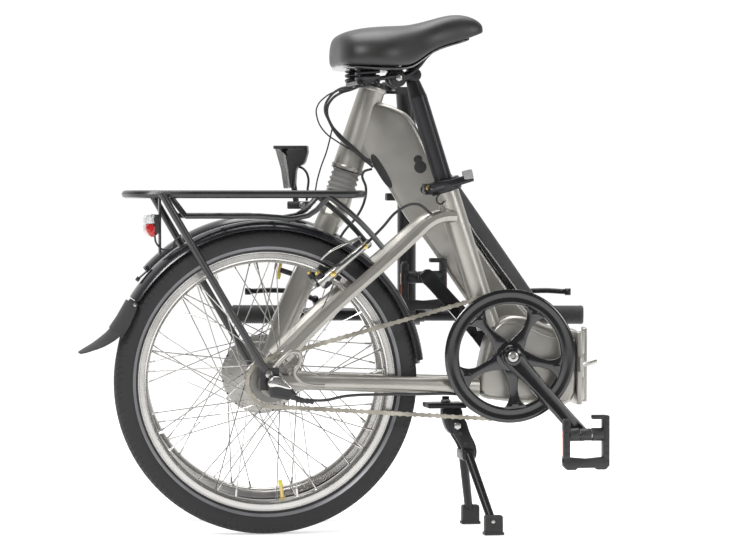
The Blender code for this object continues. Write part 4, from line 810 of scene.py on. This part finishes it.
MAIN_TUBE_TOP = [(0.914, 0.644), (0.907, 0.686), (0.903, 0.702), (0.893, 0.7105), (0.878, 0.712)]
MAIN_TUBE_TOP += [(0.856, 0.7055), (0.829, 0.692), (0.809, 0.66), (0.778, 0.59), (0.7607, 0.544)]
MAIN_TUBE_TOP += [(0.6417, 0.3713), (0.61, 0.34), (0.58, 0.329), (0.552, 0.328), (0.54, 0.323)]
MAIN_TUBE_UNDER = [(0.534, 0.31), (0.534, 0.225), (0.54, 0.212), (0.552, 0.2085), (0.59, 0.212)]
MAIN_TUBE_UNDER += [(0.635, 0.24), (0.7276, 0.3711), (0.8042, 0.485), (0.8297, 0.5105), (0.8587, 0.56)]
MAIN_TUBE_UNDER += [(0.8774, 0.59), (0.8944, 0.608), (0.908, 0.611), (0.912, 0.62)]
CASTING = [(0.366, 0.319), (0.378, 0.34), (0.402, 0.356), (0.43, 0.354), (0.468, 0.337), (0.518, 0.33)]
CASTING += [(0.518, 0.207), (0.46, 0.208), (0.4, 0.213), (0.352, 0.22), (0.352, 0.256)]


def weld(shape, route, bead=0.0022, spacing=0.0032):
    """Add a weld as a row of overlapping flat beads along a line of points."""
    for a, b in zip(route, route[1:]):
        a, b = Vector(a), Vector(b)
        count = max(int((b - a).length / spacing), 1)
        turn = (b - a).to_track_quat("X", "Z").to_matrix().to_4x4()
        for i in range(count):
            place = Matrix.Translation(a.lerp(b, i / count)) @ turn @ Matrix.Diagonal((0.75, 1.35, 0.8, 1))
            bmesh.ops.create_icosphere(shape, subdivisions=1, radius=bead, matrix=place)


def hinge_half(shape, plate_low, plate_high, lug, heights):
    """Add a hinge plate and its barrels, with the lugs that hold them."""
    middle = (Vector(plate_low) + Vector(plate_high)) / 2
    block(shape, middle, Vector(plate_high) - Vector(plate_low), 0.0022, segments=3)
    for low, high in heights:
        rod(shape, (FRAME_HINGE.x, FRAME_HINGE.y, low), (FRAME_HINGE.x, FRAME_HINGE.y, high), 0.008, sides=28,
            edge=0.0008)
        flat = bmesh.new()
        slab(flat, lug, low, high, 0.0008, 1)
        join(shape, flat, LAID_FLAT)


def main_tube():
    """The flat-sided main tube, narrowed where it meets the head tube, with its hinge half and weld."""
    shape = bmesh.new()
    slab(shape, softened(MAIN_TUBE_TOP + MAIN_TUBE_UNDER, 0.2, 2), -0.0268, 0.0268, 0.009, 6)
    bmesh.ops.triangulate(shape, faces=[face for face in shape.faces if len(face.verts) > 4])
    long_edges = [edge for edge in shape.edges if edge.calc_length() > 0.02]
    bmesh.ops.subdivide_edges(shape, edges=long_edges, cuts=6)
    for vert in shape.verts:
        reach = min(max((HEAD_TOP - vert.co).dot(AHEAD) / 0.042, 0), 1)
        vert.co.y *= 0.7 + 0.3 * reach * reach * (3 - 2 * reach)
    hinge_half(shape, (0.526, -0.029, 0.205), (0.535, 0.029, 0.33),
               [(0.5262, 0.02), (0.535, 0.02), (0.544, 0.048), (0.537, 0.054)],
               ((0.21, 0.2477), (0.2873, 0.325)))
    hang("main_tube_smooth", shape, "front_frame", CHAMPAGNE, ("main_tube",), smooth=30)
    beads = bmesh.new()
    for side in (1, -1):
        seam = [HEAD_TOP + UP * up - AHEAD * back + Vector((0, side * left, 0)) for up, back,
                left in ((-0.022, 0.0222, 0.006), (-0.028, 0.019, 0.0125), (-0.045, 0.015, 0.018),
                         (-0.07, 0.015, 0.019), (-0.095, 0.0165, 0.0193), (-0.118, 0.0175, 0.0195))]
        weld(beads, seam)
    hang("head_weld", beads, "front_frame", CHAMPAGNE, smooth=80)


def casting():
    """The casting at the bottom bracket, with the other hinge half."""
    shape = bmesh.new()
    slab(shape, softened(CASTING, 0.2, 2), -0.025, 0.025, 0.009, 6)
    hinge_half(shape, (0.5165, -0.029, 0.207), (0.5257, 0.029, 0.328),
               [(0.517, 0.02), (0.5257, 0.02), (0.5257, 0.03), (0.538, 0.045), (0.535, 0.056), (0.517, 0.04)],
               ((0.248, 0.287),))
    hang("frame_casting_smooth", shape, "rear_frame", CHAMPAGNE, ("frame_casting",), smooth=30)
    crease = bmesh.new()
    for side in (1, -1):
        ridge = [(0.39, side * 0.0246, 0.342), (0.425, side * 0.0248, 0.34), (0.465, side * 0.0248, 0.322),
                 (0.512, side * 0.0248, 0.314)]
        tube(crease, ridge, 0.0014, sides=2, bends=6)
    hang("casting_ridges", crease, "rear_frame", CHAMPAGNE)


def head_fittings():
    """Cable port, lock and bright trim on the main tube."""
    port = bmesh.new()
    outline = softened([(0.893, 0.625), (0.882, 0.622), (0.856, 0.578), (0.856, 0.564), (0.868, 0.572),
                        (0.89, 0.608)], 0.25, 2)
    slab(port, outline, 0.024, 0.0315, 0.002, 3)
    hang("cable_port", port, "front_frame", RUBBER)
    lock = bmesh.new()
    rod(lock, (0.812, 0.0255, 0.615), (0.812, 0.0283, 0.615), 0.0072, sides=36, edge=0.0008)
    rod(lock, (0.808, 0.0255, 0.602), (0.808, 0.0282, 0.602), 0.0105, sides=36, edge=0.0008)
    hang("battery_lock", lock, "front_frame", BLACK_PLASTIC)
    trim = bmesh.new()
    for side in (1, -1):
        edge = [(0.6335, side * 0.0252, 0.379), (0.752, side * 0.0252, 0.55), (0.77, side * 0.0252, 0.596),
                (0.799, side * 0.0252, 0.662)]
        tube(trim, edge, 0.0013, sides=2, bends=3)
    hang("battery_trim", trim, "front_frame", HUB_ALLOY)


def battery_gap_shade():
    """Painted shade: a gloss black strip along the inner edge of the battery's two faces, where the recessed
    gap beside the battery lies in shadow.
    """
    strip = bmesh.new()
    outline = [(0.6405, 0.3728), (0.7595, 0.5452), (0.7768, 0.5912), (0.8047, 0.6563), (0.8, 0.659),
               (0.7715, 0.5935), (0.7535, 0.549), (0.634, 0.3775)]
    for side in (1, -1):
        slab(strip, outline, min(side * 0.0248, side * 0.0256), max(side * 0.0248, side * 0.0256))
    # gloss black sheets on both sides as painted shade of the gap beside the battery
    hang("battery_gap_painted_shade", strip, "battery_pack", GLOSS_BLACK)


def head_and_fork():
    """Collars, seal and cap of the head tube, the ribbed bellows under it and the fork's boss."""
    collars = bmesh.new()
    for up, radius, depth in ((-0.001, 0.0238, 0.0075), (-HEAD_LENGTH + 0.004, 0.0272, 0.006)):
        ring(collars, [(0.015, up - depth / 2), (radius, up - depth / 2), (radius + 0.0008, up),
                       (radius, up + depth / 2), (0.015, up + depth / 2)], HEAD_TOP, 48, UP)
    hang("headset_collars", collars, "front_frame", CHAMPAGNE, smooth=30)
    lip = bmesh.new()
    ring(lip, [(0.02, -HEAD_LENGTH - 0.0016), (0.0272, -HEAD_LENGTH - 0.0016), (0.0272, -HEAD_LENGTH),
               (0.02, -HEAD_LENGTH)], HEAD_TOP, 48, UP)
    hang("headset_seal", lip, "front_frame", RUBBER)
    boot = bmesh.new()
    top, bottom = -HEAD_LENGTH - 0.002, -HEAD_LENGTH - 0.037
    profile = [(0.0155, bottom)]
    for i in range(25):
        share = i / 24
        profile.append((0.0238 + 0.0016 * math.cos(share * math.tau * 4) - 0.001 * share,
                        bottom + (top - bottom) * share))
    profile.append((0.0155, top))
    ring(boot, profile, HEAD_TOP, 48, UP)
    boot_piece = hang("bellows_ribbed", boot, "steerer", BELLOWS_RUBBER, ("bellows",), smooth=70)
    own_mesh(boot_piece)
    cap = bmesh.new()
    rod(cap, HEAD_TOP + UP * 0.0035, HEAD_TOP + UP * 0.0112, 0.0215, 0.0195, sides=40, edge=0.0015)
    hang("headset_cap", cap, "steerer", BLACK_ALLOY)
    knob = bmesh.new()
    rod(knob, (1.02, 0.0, 0.418), (1.047, 0.0, 0.427), 0.0045, sides=16)
    hang("fork_boss", knob, "fork_group", BLACK_PLASTIC)


def headlight():
    """A round-backed lamp under a peak, with a bright reflector behind a clear front."""
    shell = bmesh.new()
    outline = [(1.056, 0.6368), (1.0005, 0.6368), (0.9995, 0.627), (1.005, 0.608), (1.019, 0.601),
               (1.0215, 0.566), (1.0285, 0.566), (1.0325, 0.596), (1.0375, 0.623), (1.048, 0.634)]
    slab(shell, softened(outline, 0.15, 1), -0.025, 0.025, 0.0045, 3)
    slab(shell, [(1.0575, 0.6385), (1.001, 0.6385), (1.0, 0.6345), (1.0575, 0.633)], -0.0262, 0.0262, 0.0015,
         2)
    block(shell, (1.015, 0, 0.5375), (0.04, 0.022, 0.013), 0.002)
    rod(shell, (1.02, 0, 0.54), (1.025, 0, 0.575), 0.005, sides=16)
    hang("headlight_shell", shell, "fork_group", BLACK_PLASTIC, ("headlight",), smooth=35)
    lens = bmesh.new()
    slab(lens, [(1.0535, 0.6325), (1.038, 0.6325), (1.0325, 0.6), (1.029, 0.567), (1.0395, 0.5665),
                (1.0435, 0.597)], -0.0235, 0.0235, 0.002, 2)
    hang("headlight_lens", lens, "fork_group", CLEAR_LENS)
    bezel = bmesh.new()
    for y in (-0.024, 0.024):
        slab(bezel, [(1.0545, 0.633), (1.044, 0.633), (1.036, 0.599), (1.0325, 0.566), (1.04, 0.566),
                     (1.0445, 0.598)], y - 0.001, y + 0.001)
    hang("headlight_bezel", bezel, "fork_group", RIM_ALLOY)
    bolt = bmesh.new()
    rod(bolt, (1.009, 0.0105, 0.538), (1.009, 0.0165, 0.538), 0.0055, sides=6, edge=0.0007)
    rod(bolt, (1.009, -0.0105, 0.538), (1.009, -0.0165, 0.538), 0.0055, sides=6, edge=0.0007)
    hang("headlight_bolt", bolt, "fork_group", STEEL)
    wire = bmesh.new()
    tube(wire, [(1.018, 0.006, 0.604), (1.006, 0.01, 0.598), (0.999, 0.012, 0.584), (1.0, 0.011, 0.565),
                (1.002, 0.008, 0.545)], 0.002, sides=3)
    hang("headlight_wire", wire, "fork_group", CABLE_SKIN)


def stem_place(forward, left, up):
    """A point on the upright handlepost, from its foot."""
    return STEM_FOOT + UP * up + AHEAD * forward + Vector((0, left, 0))


def handlebar_parts():
    """The folded post's catch, ribbed grips, brake levers, their clamps and cable barrels."""
    catch = bmesh.new()
    block(catch, POST_CLAMP, (0.034, 0.02, 0.013), 0.0022)
    hang("post_catch", catch, "stem", BLACK_PLASTIC, place=AS_BUILT)
    for name, side in (("right", -1), ("left", 1)):
        sleeve = bmesh.new()
        profile = [(0.0118, 0.186), (0.0178, 0.186), (0.018, 0.189), (0.016, 0.191)]
        for i in range(26):
            y = 0.193 + i * 0.004
            profile += [(0.0162, y), (0.0156, y + 0.0013), (0.0162, y + 0.0026)]
        profile += [(0.0163, 0.2985), (0.016, 0.302), (0.014, 0.3042), (0.0118, 0.3045)]
        ring(sleeve, [(radius, side * y) for radius, y in profile], stem_place(BAR_FORWARD, 0, POST_LENGTH),
             40)
        hang("grip_%s_ribbed" % name, sleeve, "stem", RUBBER, ("grip_" + name,), smooth=35)
        perch = bmesh.new()
        middle = stem_place(BAR_FORWARD, side * 0.15, POST_LENGTH)
        ring(perch, both_sides([(0.0112, 0.009), (0.0155, 0.009), (0.0165, 0.008)]), middle, 36)
        rod(perch, stem_place(BAR_FORWARD + 0.004, side * 0.156, POST_LENGTH - 0.012),
            stem_place(BAR_FORWARD + 0.015, side * 0.148, POST_LENGTH - 0.024), 0.0085, 0.0065, edge=0.001)
        rod(perch, stem_place(BAR_FORWARD + 0.015, side * 0.152, POST_LENGTH - 0.024),
            stem_place(BAR_FORWARD + 0.016, side * 0.118, POST_LENGTH - 0.022), 0.0048, 0.004, sides=18,
            edge=0.0008)
        hang("lever_clamp_" + name, perch, "stem", BLACK_ALLOY)
        refined("brake_lever_" + name, BLACK_ALLOY, 0, 50)


# Rear fittings

def rear_light():
    """Lamp with a red and a clear lens, its wires, the mudguard's bracket and the flap's collar."""
    housing = bmesh.new()
    outline = softened([(-0.185, 0.488), (-0.177, 0.495), (-0.177, 0.523), (-0.188, 0.5235)], 0.2, 1)
    slab(housing, outline, -0.027, 0.027, 0.0025)
    hang("rear_light_housing", housing, "rear_frame", BLACK_PLASTIC, ("rear_light",))
    lens = bmesh.new()
    outline = softened([(-0.1995, 0.497), (-0.193, 0.487), (-0.185, 0.487), (-0.185, 0.508),
                        (-0.1995, 0.508)], 0.2, 1)
    slab(lens, outline, -0.0265, 0.0265, 0.0025)
    hang("rear_light_red", lens, "rear_frame", RED_LENS)
    clear = bmesh.new()
    slab(clear, [(-0.1995, 0.5085), (-0.1855, 0.5085), (-0.1855, 0.5225), (-0.196, 0.5225), (-0.1995, 0.517)],
         -0.0262, 0.0262, 0.002)
    hang("rear_light_clear", clear, "rear_frame", CLEAR_LENS)
    wires = bmesh.new()
    for y in (-0.003, 0.003):
        tube(wires, [(-0.183, y, 0.489), (-0.18, y, 0.476), (-0.168, y, 0.466), (-0.154, y, 0.47),
                     (-0.15, y, 0.48), (-0.14, y, 0.49)], 0.0013, sides=2)
    hang("rear_light_wires", wires, "rear_frame", CABLE_SKIN)
    bracket = bmesh.new()
    block(bracket, (-0.201, 0, 0.4265), (0.0022, 0.014, 0.03), 0.0006,
          Matrix.Rotation(math.radians(49), 4, "Y"))
    rod(bracket, (-0.208, 0, 0.4165), (-0.213, 0, 0.42), 0.0038, sides=6, edge=0.0006)
    rod(bracket, (-0.193, 0, 0.4345), (-0.198, 0, 0.4385), 0.0038, sides=6, edge=0.0006)
    hang("guard_bracket", bracket, "rear_frame", BLACK_ALLOY)
    collar = bmesh.new()
    rings = []
    for (x, z), (nx, nz), half, drop in (((-0.229, 0.385), (0.848, -0.53), 0.0318, 0.017),
                                         ((-0.2445, 0.358), (0.8, -0.6), 0.0334, 0.022),
                                         ((-0.257, 0.34), (0.74, -0.672), 0.033, 0.023)):
        middle, inward = Vector((x, 0, z)), Vector((nx, 0, nz))
        spans = (1, 0.8, 0.55, 0.28, 0, -0.28, -0.55, -0.8, -1)
        outer = [middle + Vector((0, across * half, 0)) + inward * (drop * across * across - 0.0012)
                 for across in spans]
        rings.append(outer + [point + inward * 0.0016 for point in reversed(outer)])
    skin(collar, rings)
    hang("flap_collar", collar, "rear_frame", RUBBER, smooth=50)
    rivet = bmesh.new()
    for side in (1, -1):
        rod(rivet, (-0.219, side * 0.029, 0.377), (-0.219, side * 0.0335, 0.377), 0.0026, sides=16,
            edge=0.0006)
    hang("flap_rivets", rivet, "rear_frame", STEEL)


def shift_box():
    """The shift box's bright cap, its ribbed boot and the gear cable along the chainstay."""
    cap = bmesh.new()
    outline = softened([(-0.0125, 0.253), (-0.004, 0.264), (0.01, 0.263), (0.02, 0.254), (0.03, 0.244),
                        (0.024, 0.24), (0.004, 0.246), (-0.008, 0.244)], 0.22, 2)
    slab(cap, outline, -0.0997, -0.085, 0.0035, 4)
    hang("shift_box_cap", cap, "rear_frame", RIM_ALLOY)
    refined("shift_box", BLACK_PLASTIC, 0.0012, 50)
    boot = bmesh.new()
    ring(boot, [(0.002, -0.015)] + [(0.0042 + 0.0006 * math.cos(i * 1.4), -0.015 + i * 0.002)
                                    for i in range(15)] + [(0.002, 0.014)], (0.052, -0.083, 0.2225), 20,
         (0.95, 0.13, -0.12))
    hang("shift_boot", boot, "rear_frame", RUBBER)
    cable = bmesh.new()
    tube(cable, [(0.04, -0.085, 0.225), (0.0828, -0.078, 0.2226), (0.1207, -0.068, 0.2285),
                 (0.1785, -0.06, 0.23), (0.2449, -0.05, 0.229), (0.2866, -0.042, 0.229), (0.33, -0.03, 0.228),
                 (0.37, -0.02, 0.23)], 0.0024, sides=3, bends=8)
    hang("gear_cable", cable, "rear_frame", CABLE_SKIN)


def dropouts():
    """The dropouts' curved hooks, the axle nuts and the rack's foot bolts."""
    hook = bmesh.new()
    route = [(0.003, -0.069, 0.275), (0.016, -0.069, 0.29), (0.033, -0.068, 0.301), (0.045, -0.067, 0.296),
             (0.044, -0.0665, 0.282), (0.036, -0.066, 0.268), (0.042, -0.065, 0.256), (0.062, -0.064, 0.248),
             (0.086, -0.063, 0.246)]
    for side in (1, -1):
        tube(hook, [(x, side * y, z) for x, y, z in route], 0.0042, sides=4, bends=8)
    hang("dropout_hooks", hook, "rear_frame", CHAMPAGNE, smooth=60)
    bolts = bmesh.new()
    for side in (1, -1):
        rod(bolts, (-0.0075, side * 0.077, 0.2655), (-0.0075, side * 0.084, 0.2655), 0.0062, sides=24,
            edge=0.0012)
        rod(bolts, (0.0, side * 0.07, TYRE_R), (0.0, side * 0.076, TYRE_R), 0.0105, sides=6, edge=0.001)
    hang("dropout_bolts", bolts, "rear_frame", STEEL)


def brake_at(up, y, off=0.0, side=1):
    """A point on a brake arm: up it from the pivot, y from the wheel's middle, off its face."""
    return BRAKE_PIVOT + BRAKE_RISE * up + BRAKE_OUT * off + Vector((0, side * y, 0))


def rear_brake():
    """Both brake arms with bolts and springs, the bent cable guide and the brake cable."""
    for name, side in (("right", -1), ("left", 1)):
        body = "brake_" + name
        brass = bmesh.new()
        rod(brass, brake_at(0.0, 0.04, 0.013, side), brake_at(0.0, 0.04, 0.0185, side), 0.0055, sides=6,
            edge=0.0008)
        rod(brass, brake_at(0.017, 0.0455, 0, side), brake_at(0.017, 0.053, 0, side), 0.0055, sides=6,
            edge=0.0008)
        rod(brass, brake_at(0.086, 0.047, 0, side), brake_at(0.086, 0.053, 0, side), 0.0048, sides=16,
            edge=0.0008)
        hang("brake_bolts_" + name, brass, body, BRASS)
        arm = bmesh.new()
        stations = ((-0.01, 0.01, 0.0075), (0.01, 0.0088, 0.007), (0.04, 0.007, 0.0055),
                    (0.075, 0.0062, 0.0045), (0.098, 0.0055, 0.004))
        turns = [math.tau * i / 10 for i in range(10)]
        rings = []
        for up, wide, thick in stations:
            bow = 0.041 + up * 0.03
            rings.append([brake_at(up, bow + thick * math.sin(turn), wide * math.cos(turn), side)
                          for turn in turns])
        skin(arm, rings)
        hang("brake_arm_%s_forged" % name, arm, body, HUB_ALLOY, smooth=50)
        refined("brake_arm_" + name, BLACK_ALLOY, 0.0005, 35)
        spring = bmesh.new()
        tube(spring, [brake_at(-0.004, 0.048, 0.004, side), brake_at(0.03, 0.05, 0.004, side),
                      brake_at(0.062, 0.049, 0.003, side)], 0.0011, sides=2)
        hang("brake_spring_" + name, spring, body, STEEL)
    noodle = bmesh.new()
    tube(noodle, [(0.083, -0.05, 0.45), (0.095, -0.058, 0.462), (0.115, -0.056, 0.472), (0.135, -0.046, 0.48),
                  (0.15, -0.035, 0.486)], 0.0022, sides=3)
    hang("brake_noodle", noodle, "rear_frame", STEEL)
    cable = bmesh.new()
    tube(cable, [(0.084, -0.05, 0.451), (0.1059, -0.054, 0.44), (0.134, -0.054, 0.456),
                 (0.1605, -0.05, 0.4782), (0.185, -0.042, 0.501), (0.215, -0.033, 0.53),
                 (0.245, -0.028, 0.54), (0.272, -0.023, 0.523)], 0.0023, sides=3)
    hang("rear_brake_cable", cable, "rear_frame", CABLE_SKIN)


def seat_fittings():
    """The seat tube's clamp band and folded cam lever, and a cable eye below them."""
    band = bmesh.new()
    top = SEAT_TUBE_TOP - UP * 0.002
    ring(band, [(0.0202, -0.011), (0.0256, -0.011), (0.027, -0.008), (0.0272, 0.005), (0.0256, 0.0085),
                (0.0158, 0.0085), (0.0158, 0.006), (0.0202, 0.006)], top, 48, UP)
    block(band, top + Vector((-0.03, 0, -0.006)), (0.012, 0.026, 0.015), 0.0025)
    hang("seat_clamp_band", band, "rear_frame", BLACK_ALLOY)
    washer = bmesh.new()
    for side in (1, -1):
        spot = top + Vector((-0.03, side * 0.015, -0.006))
        across(washer, spot, 0.0022, 0.0048, sides=20, edge=0.0006)
    hang("seat_clamp_washer", washer, "rear_frame", BRASS)
    cam = bmesh.new()
    grip = [(-0.029, 0.5655), (-0.01, 0.567), (0.015, 0.572), (0.038, 0.578), (0.0395, 0.59), (0.02, 0.585),
            (0.0, 0.579), (-0.028, 0.5765)]
    slab(cam, softened([(x + 0.2975, z) for x, z in grip], 0.2, 2), -0.0365, -0.03, 0.0022, 3)
    hang("seat_lever_blade", cam, "clamp_lever", BLACK_ALLOY)
    tip = bmesh.new()
    block(tip, (0.33, -0.0332, 0.588), (0.017, 0.009, 0.016), 0.0025, Matrix.Rotation(math.radians(-12), 4,
                                                                                      "Y"))
    hang("seat_lever_pad", tip, "clamp_lever", LEVER_GREY)
    eye = bmesh.new()
    tube(eye, [(0.285, -0.02, 0.556), (0.28, -0.023, 0.55), (0.281, -0.023, 0.543), (0.288, -0.022, 0.54),
               (0.293, -0.0215, 0.545)], 0.0014, sides=2, bends=6)
    hang("cable_eye", eye, "rear_frame", BLACK_ALLOY)


def stand():
    """Two legs on a cheeked pivot, their feet and bolts, painted shade in the cheeks' holes, and the bracket
    on the chainstays.
    """
    feet = bmesh.new()
    for side in (1, -1):
        sole = Vector((0.361, side * 0.0905, 0.0165))
        block(feet, sole, (0.0296, 0.0196, 0.0326), 0.0035, segments=3)
        block(feet, sole + Vector((0, 0, -0.0135)), (0.0325, 0.0215, 0.005), 0.0015)
    hang("stand_feet", feet, "stand", RUBBER)
    bolts = bmesh.new()
    for side in (1, -1):
        rod(bolts, (0.316, side * 0.0172, 0.174), (0.316, side * 0.0215, 0.174), 0.0065, sides=6, edge=0.0008)
        rod(bolts, (0.3585, side * 0.1, 0.023), (0.3585, side * 0.102, 0.023), 0.0032, sides=16, edge=0.0006)
    hang("stand_bolts", bolts, "stand", STEEL)
    legs = bmesh.new()
    cheek = [(0.3, 0.188), (0.316, 0.193), (0.331, 0.185), (0.337, 0.162), (0.35, 0.138), (0.348, 0.116),
             (0.328, 0.115), (0.324, 0.138), (0.308, 0.162)]
    dark = bmesh.new()
    for side in (1, -1):
        near, far = sorted((side * 0.0134, side * 0.0178))
        slab(legs, softened(cheek, 0.25, 2), near, far, 0.001, 2)
        rod(legs, (0.334, side * 0.022, 0.126), (0.3575, side * 0.086, 0.028), 0.0078, 0.007, sides=24)
        # thin dark discs on the cheek faces: painted shade in the cheeks' holes
        for x, z in ((0.321, 0.161), (0.33, 0.144), (0.339, 0.129)):
            rod(dark, (x, side * 0.017, z), (x, side * 0.0181, z), 0.003, sides=16)
    block(legs, (0.334, 0, 0.126), (0.02, 0.056, 0.019), 0.004, segments=3)
    hang("stand_legs", legs, "stand", BLACK_ALLOY, ("kickstand",))
    hang("stand_hole_painted_shade", dark, "stand", RUBBER)
    mount = bmesh.new()
    block(mount, (0.298, 0, 0.2075), (0.064, 0.054, 0.0085), 0.002)
    neck = [(0.29, 0.206), (0.326, 0.206), (0.327, 0.18), (0.32, 0.162), (0.308, 0.158), (0.298, 0.17)]
    slab(mount, softened(neck, 0.22, 2), -0.0128, 0.0128, 0.002, 2)
    rod(mount, (0.316, -0.018, 0.174), (0.316, 0.018, 0.174), 0.0045)
    rod(mount, (0.3, 0, 0.21), (0.3, 0, 0.222), 0.006, edge=0.0008)
    hang("stand_mount", mount, "rear_frame", BLACK_ALLOY, ("stand_bracket",))
    nut = bmesh.new()
    rod(nut, (0.3, 0, 0.2118), (0.3, 0, 0.2165), 0.0085, sides=6, edge=0.0008)
    hang("stand_nut", nut, "rear_frame", STEEL)


def declared(route, radius):
    """Work out a cable's route in place on the front half and the length of that route; nothing is done with
    them.
    """
    line = [FRONT @ Vector(point) for point in route]
    length = sum((b - a).length for a, b in zip(line, line[1:]))
    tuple(line[0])


def cables():
    """Cables that hang between the main tube and the steering, and their plugs."""
    loop_ends = ((0.92, 0, 0.635), (0.93, 0, 0.725))
    runs = (
        ("brake_cable_loop", 0.0024, loop_ends,
         [(0.8912, 0.033, 0.6087), (0.9031, 0.04, 0.6189), (0.9233, 0.044, 0.6374), (0.9419, 0.044, 0.6543),
          (0.9589, 0.042, 0.6746), (0.9656, 0.038, 0.6982), (0.9588, 0.033, 0.7151), (0.9436, 0.03, 0.7269),
          (0.925, 0.03, 0.733), (0.908, 0.029, 0.74)]),
        ("gear_cable_loop", 0.0022, loop_ends,
         [(0.888, 0.033, 0.602), (0.908, 0.04, 0.619), (0.929, 0.047, 0.638), (0.948, 0.048, 0.656),
          (0.962, 0.046, 0.68), (0.969, 0.042, 0.7), (0.962, 0.037, 0.719), (0.946, 0.033, 0.733),
          (0.926, 0.032, 0.7385), (0.908, 0.03, 0.743)]),
        ("thin_lead_loop", 0.0013, loop_ends,
         [(0.893, 0.031, 0.614), (0.915, 0.042, 0.626), (0.9467, 0.048, 0.6441), (0.9703, 0.05, 0.6627),
          (0.9821, 0.048, 0.6863), (0.9821, 0.045, 0.7031), (0.9686, 0.04, 0.72), (0.95, 0.033, 0.7301),
          (0.922, 0.029, 0.736)]),
        ("motor_lead_upper", 0.0013, ((0.955, 0, 0.668), (0.985, 0, 0.545)),
         [(0.956, 0.044, 0.669), (0.9653, 0.045, 0.6306), (0.9771, 0.045, 0.5969), (0.9839, 0.045, 0.5682),
          (0.986, 0.047, 0.54)]),
        ("front_brake_cable", 0.0022, ((0.905, 0, 0.585), (0.94, 0, 0.49)),
         [(0.89, 0.03, 0.599), (0.905, 0.033, 0.5919), (0.8999, 0.034, 0.5665), (0.9016, 0.034, 0.5479),
          (0.9135, 0.036, 0.5209), (0.9372, 0.042, 0.4921), (0.95, 0.048, 0.47)]),
    )
    for name, radius, ends, route in runs:
        shape = bmesh.new()
        tube(shape, route, radius, sides=3, bends=10)
        piece = hang(name, shape, None, CABLE_SKIN, place=FRONT)
        FRONT @ Vector(ends[0])
        FRONT @ Vector(ends[1])
        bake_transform(piece)
        declared(route, radius)
    plugs = bmesh.new()
    for a, b in (((0.91, 0.0295, 0.74), (0.893, 0.0275, 0.743)), ((0.946, 0.0315, 0.73),
                                                                  (0.929, 0.031, 0.735))):
        rod(plugs, a, b, 0.004, 0.0034, sides=18, edge=0.0008)
    hang("cable_plugs", plugs, "steerer", BLACK_PLASTIC)


KEPT = {"seat_tube": CHAMPAGNE, "bottom_bracket_shell": CHAMPAGNE, "chainstay_left": CHAMPAGNE,
        "chainstay_right": CHAMPAGNE, "seatstay_left": CHAMPAGNE, "seatstay_right": CHAMPAGNE,
        "head_tube": CHAMPAGNE, "fork": CHAMPAGNE, "seat_clamp": BLACK_ALLOY, "seat_clamp_lever": BLACK_ALLOY,
        "rear_axle": STEEL, "front_axle": STEEL, "rack_platform": BLACK_PAINT, "rack_stay_left": BLACK_PAINT,
        "rack_stay_right": BLACK_PAINT, "bottom_bracket_axle": STEEL, "pedal_spindle_right": STEEL,
        "pedal_spindle_left": STEEL, "seatpost": BLACK_ALLOY, "hinge_latch": HUB_ALLOY,
        "battery": GREY_PLASTIC, "stem_base": BLACK_ALLOY, "handlepost": BLACK_PAINT,
        "handlebar": BLACK_ALLOY,}


def floor():
    ground = bmesh.new()
    bmesh.ops.create_grid(ground, x_segments=1, y_segments=1, size=9)
    mesh = bpy.data.meshes.new("floor")
    ground.to_mesh(mesh)
    ground.free()
    piece = bpy.data.objects.new("floor", mesh)
    pale = finish("pale_floor", (0.92, 0.92, 0.92), 0.8, grain=40, bump=0.0, mottle=0.01)
    set_inputs(pale.node_tree.nodes["Principled BSDF"], emission_color=(1, 1, 1, 1), emission_strength=0.5)
    mesh.materials.append(pale)
    bpy.context.collection.objects.link(piece)


def room():
    """Soft light from all round, dark behind the camera and bright behind the bicycle."""
    world = bpy.data.worlds.new("soft_room")
    world.use_nodes = True
    tree = world.node_tree
    split = add_node(tree, "SeparateXYZ")
    tree.links.new(add_node(tree, "TexCoord").outputs["Generated"], split.inputs["Vector"])
    fade = add_node(tree, "MapRange", from_min=-0.35, from_max=0.55, to_min=0.16, to_max=1.02)
    tree.links.new(split.outputs["Y"], fade.inputs["Value"])
    tree.links.new(fade.outputs["Result"], tree.nodes["Background"].inputs["Color"])
    bpy.context.scene.world = world


def lamps():
    target = Vector((0, 0, 0.42))
    for name, spot, power, size in (
        ("key_light", (-2.2, -3.2, 3.2), 120, 1.4),
        ("fill_light", (2.8, -2.6, 1.6), 34, 1.2),
        ("top_light", (0.2, 0.6, 3.6), 110, 2.6),
    ):
        light = bpy.data.lights.new(name, "AREA")
        light.energy = power
        light.size = size
        lamp = bpy.data.objects.new(name, light)
        lamp.location = spot
        lamp.rotation_euler = (target - Vector(spot)).to_track_quat("-Z", "Y").to_euler()
        bpy.context.collection.objects.link(lamp)


def camera():
    """The camera, low on the bicycle's right and a little behind it."""
    lens = bpy.data.cameras.new("camera")
    lens.lens = 157.3
    lens.sensor_width = 36
    eye = bpy.data.objects.new("camera", lens)
    eye.location = Vector((-0.767, -5.2, 0.557)) - MIDDLE
    eye.rotation_euler = (math.radians(90 - 1.46), 0, math.radians(-10.2))
    bpy.context.collection.objects.link(eye)
    bpy.context.scene.camera = eye
    bpy.context.scene.view_settings.view_transform = "Standard"


def main():
    wheels()
    drive()
    saddle()
    saddle_springs()
    main_tube()
    casting()
    head_fittings()
    battery_gap_shade()
    head_and_fork()
    headlight()
    handlebar_parts()
    rear_light()
    shift_box()
    dropouts()
    rear_brake()
    seat_fittings()
    stand()
    cables()
    for node, material in KEPT.items():
        refined(node, material)
    refined("mudguard_flap", RUBBER, 0, 60, 2)
    floor()
    room()
    lamps()
    camera()


main()
